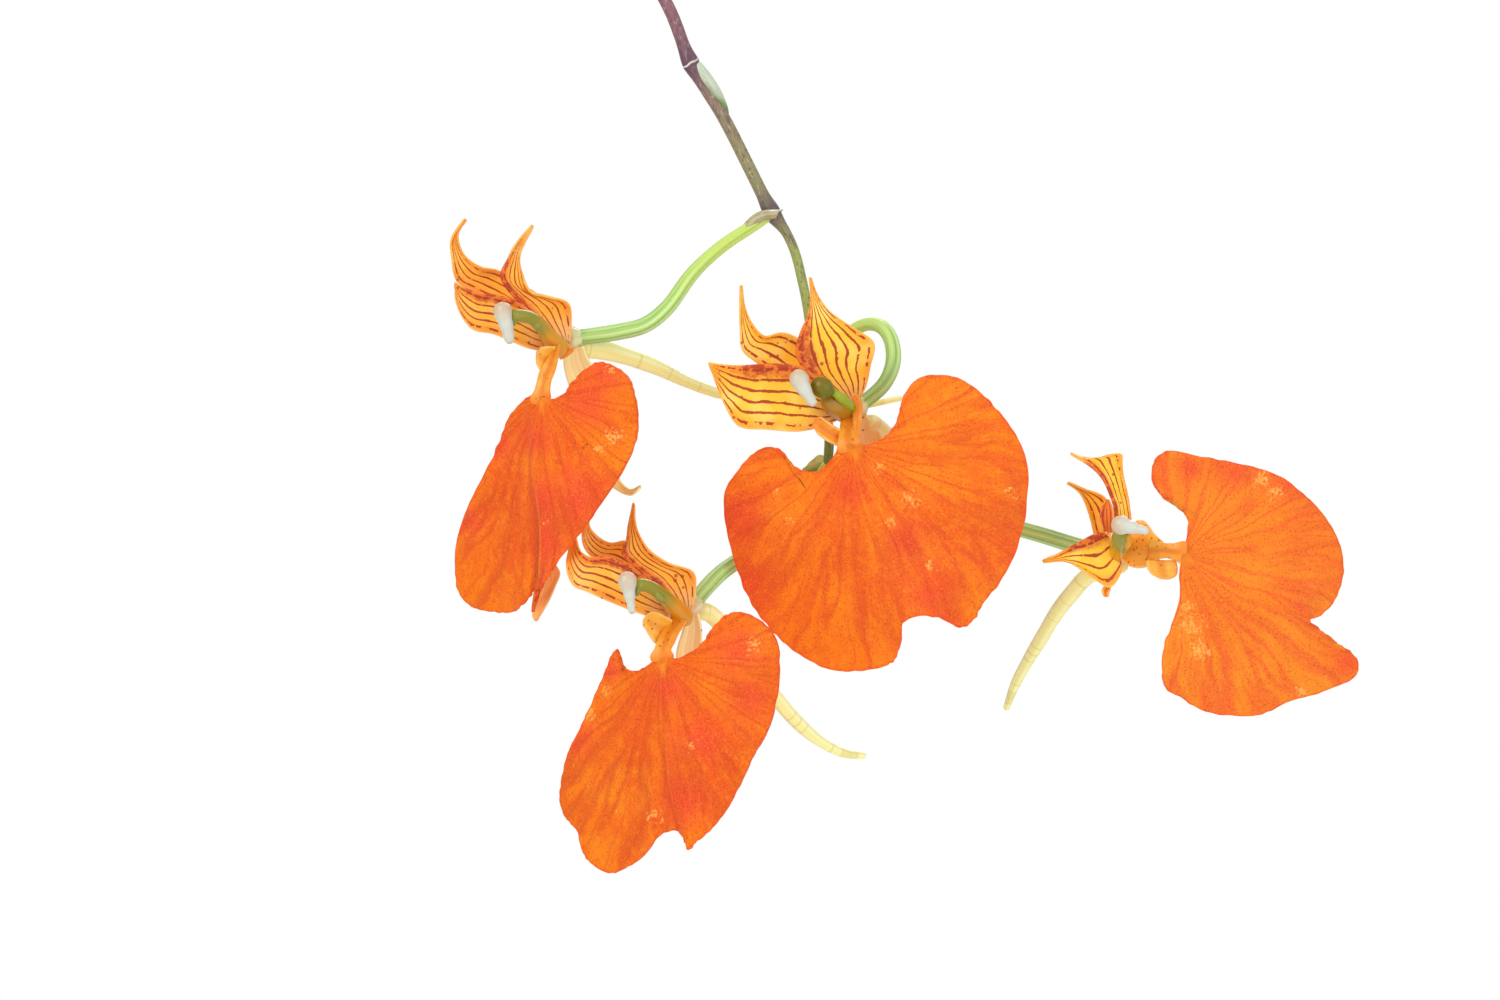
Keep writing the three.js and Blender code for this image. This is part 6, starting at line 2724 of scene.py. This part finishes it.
@dataclass
class Studio:
    """The camera at the photograph's viewing angle, soft light and a pale floor."""

    floor_radius: float = 1.15
    floor_height: float = -0.0005
    ambient: float = 0.62
    key_power: float = 9.0
    fill_power: float = 3.0
    rim_power: float = 4.0
    aim: Stop = (0.12, 0.0, 0.15)

    def camera(self) -> None:
        """Sets the camera square to the front view, so that its outlines land where they should."""
        lens = bpy.data.cameras.new("front_camera")
        lens.lens = LENS_MM
        lens.sensor_width = SENSOR_MM
        lens.clip_start = 0.05
        lens.clip_end = 50
        camera = bpy.data.objects.new("front_camera", lens)
        camera.location = (VIEW_MIDDLE[0], -VIEW_DISTANCE, VIEW_MIDDLE[1])
        camera.rotation_euler = (math.radians(90), 0, 0)
        bpy.context.scene.collection.objects.link(camera)
        bpy.context.scene.camera = camera

    def softbox(self, name: str, place: Stop, size: float, power: float) -> None:
        """Hangs one square soft light that faces the blooms.

        Args:
            name: The light's name.
            place: Where it hangs.
            size: Its side in metres.
            power: Its power in watts.
        """
        light = bpy.data.lights.new(name, "AREA")
        light.size = size
        light.energy = power
        holder = bpy.data.objects.new(name, light)
        holder.location = place
        heading = Vector(self.aim) - Vector(place)
        holder.rotation_euler = heading.to_track_quat("-Z", "Y").to_euler()
        bpy.context.scene.collection.objects.link(holder)

    def world(self) -> None:
        """Makes the white surround: bright to the camera, softer as light."""
        world = bpy.data.worlds.new("white_surround")
        bpy.context.scene.world = world
        world.use_nodes = True
        tree = world.node_tree
        tree.nodes.clear()
        path = tree.nodes.new("ShaderNodeLightPath")
        mixed = tree.nodes.new("ShaderNodeMixShader")
        out = tree.nodes.new("ShaderNodeOutputWorld")
        tree.links.new(path.outputs["Is Camera Ray"], mixed.inputs[0])
        for place, strength in ((1, self.ambient), (2, 1.0)):
            surround = tree.nodes.new("ShaderNodeBackground")
            surround.inputs["Color"].default_value = (1.0, 1.0, 1.0, 1.0)
            surround.inputs["Strength"].default_value = strength
            tree.links.new(surround.outputs[0], mixed.inputs[place])
        tree.links.new(mixed.outputs[0], out.inputs[0])

    def floor(self) -> None:
        """Lays a pale round floor that fades out into the white surround."""
        deselect()
        bpy.ops.mesh.primitive_circle_add(
            vertices=96, radius=self.floor_radius, fill_type="NGON", location=(0, 0, self.floor_height)
        )
        floor = fresh("studio_floor")
        paint = Paint("pale_floor")
        x, y, _ = paint.axes(paint.point)
        away = (x * x + y * y) ** 0.5
        skin = {"Base Color": (0.86, 0.86, 0.85, 1), "Roughness": 0.8}
        pale = paint.node("ShaderNodeBsdfPrincipled", {}, skin)[0]
        clear = paint.node("ShaderNodeBsdfTransparent", {}, {})[0]
        faded = paint.node("ShaderNodeMixShader", {}, {0: away.ease(0.4, 1.05), 1: pale, 2: clear})[0]
        paint.node("ShaderNodeOutputMaterial", {}, {"Surface": faded})
        dress(floor, paint.material)

    def build(self) -> None:
        """Sets the studio up."""
        self.camera()
        self.world()
        self.softbox("key_light", (-0.55, -0.85, 0.85), 0.7, self.key_power)
        self.softbox("fill_light", (0.85, -0.7, 0.3), 0.8, self.fill_power)
        self.softbox("rim_light", (0.3, 0.8, 0.7), 0.6, self.rim_power)
        self.floor()
        bpy.context.scene.view_settings.view_transform = "Standard"


def main() -> None:
    """Builds the studio and every piece of the plant."""
    logging.basicConfig(level=logging.INFO, format="%(name)s %(message)s")
    Studio().build()
    pot = Pot()
    pot.build()
    BarkBed(pot).build()
    Growth().build()
    FlowerSpike().build()
    finishes = BloomFinishes()
    for bloom in Bloom:
        BloomBuilder(bloom, finishes).build()
    deselect()


if __name__ == "__main__":
    main()
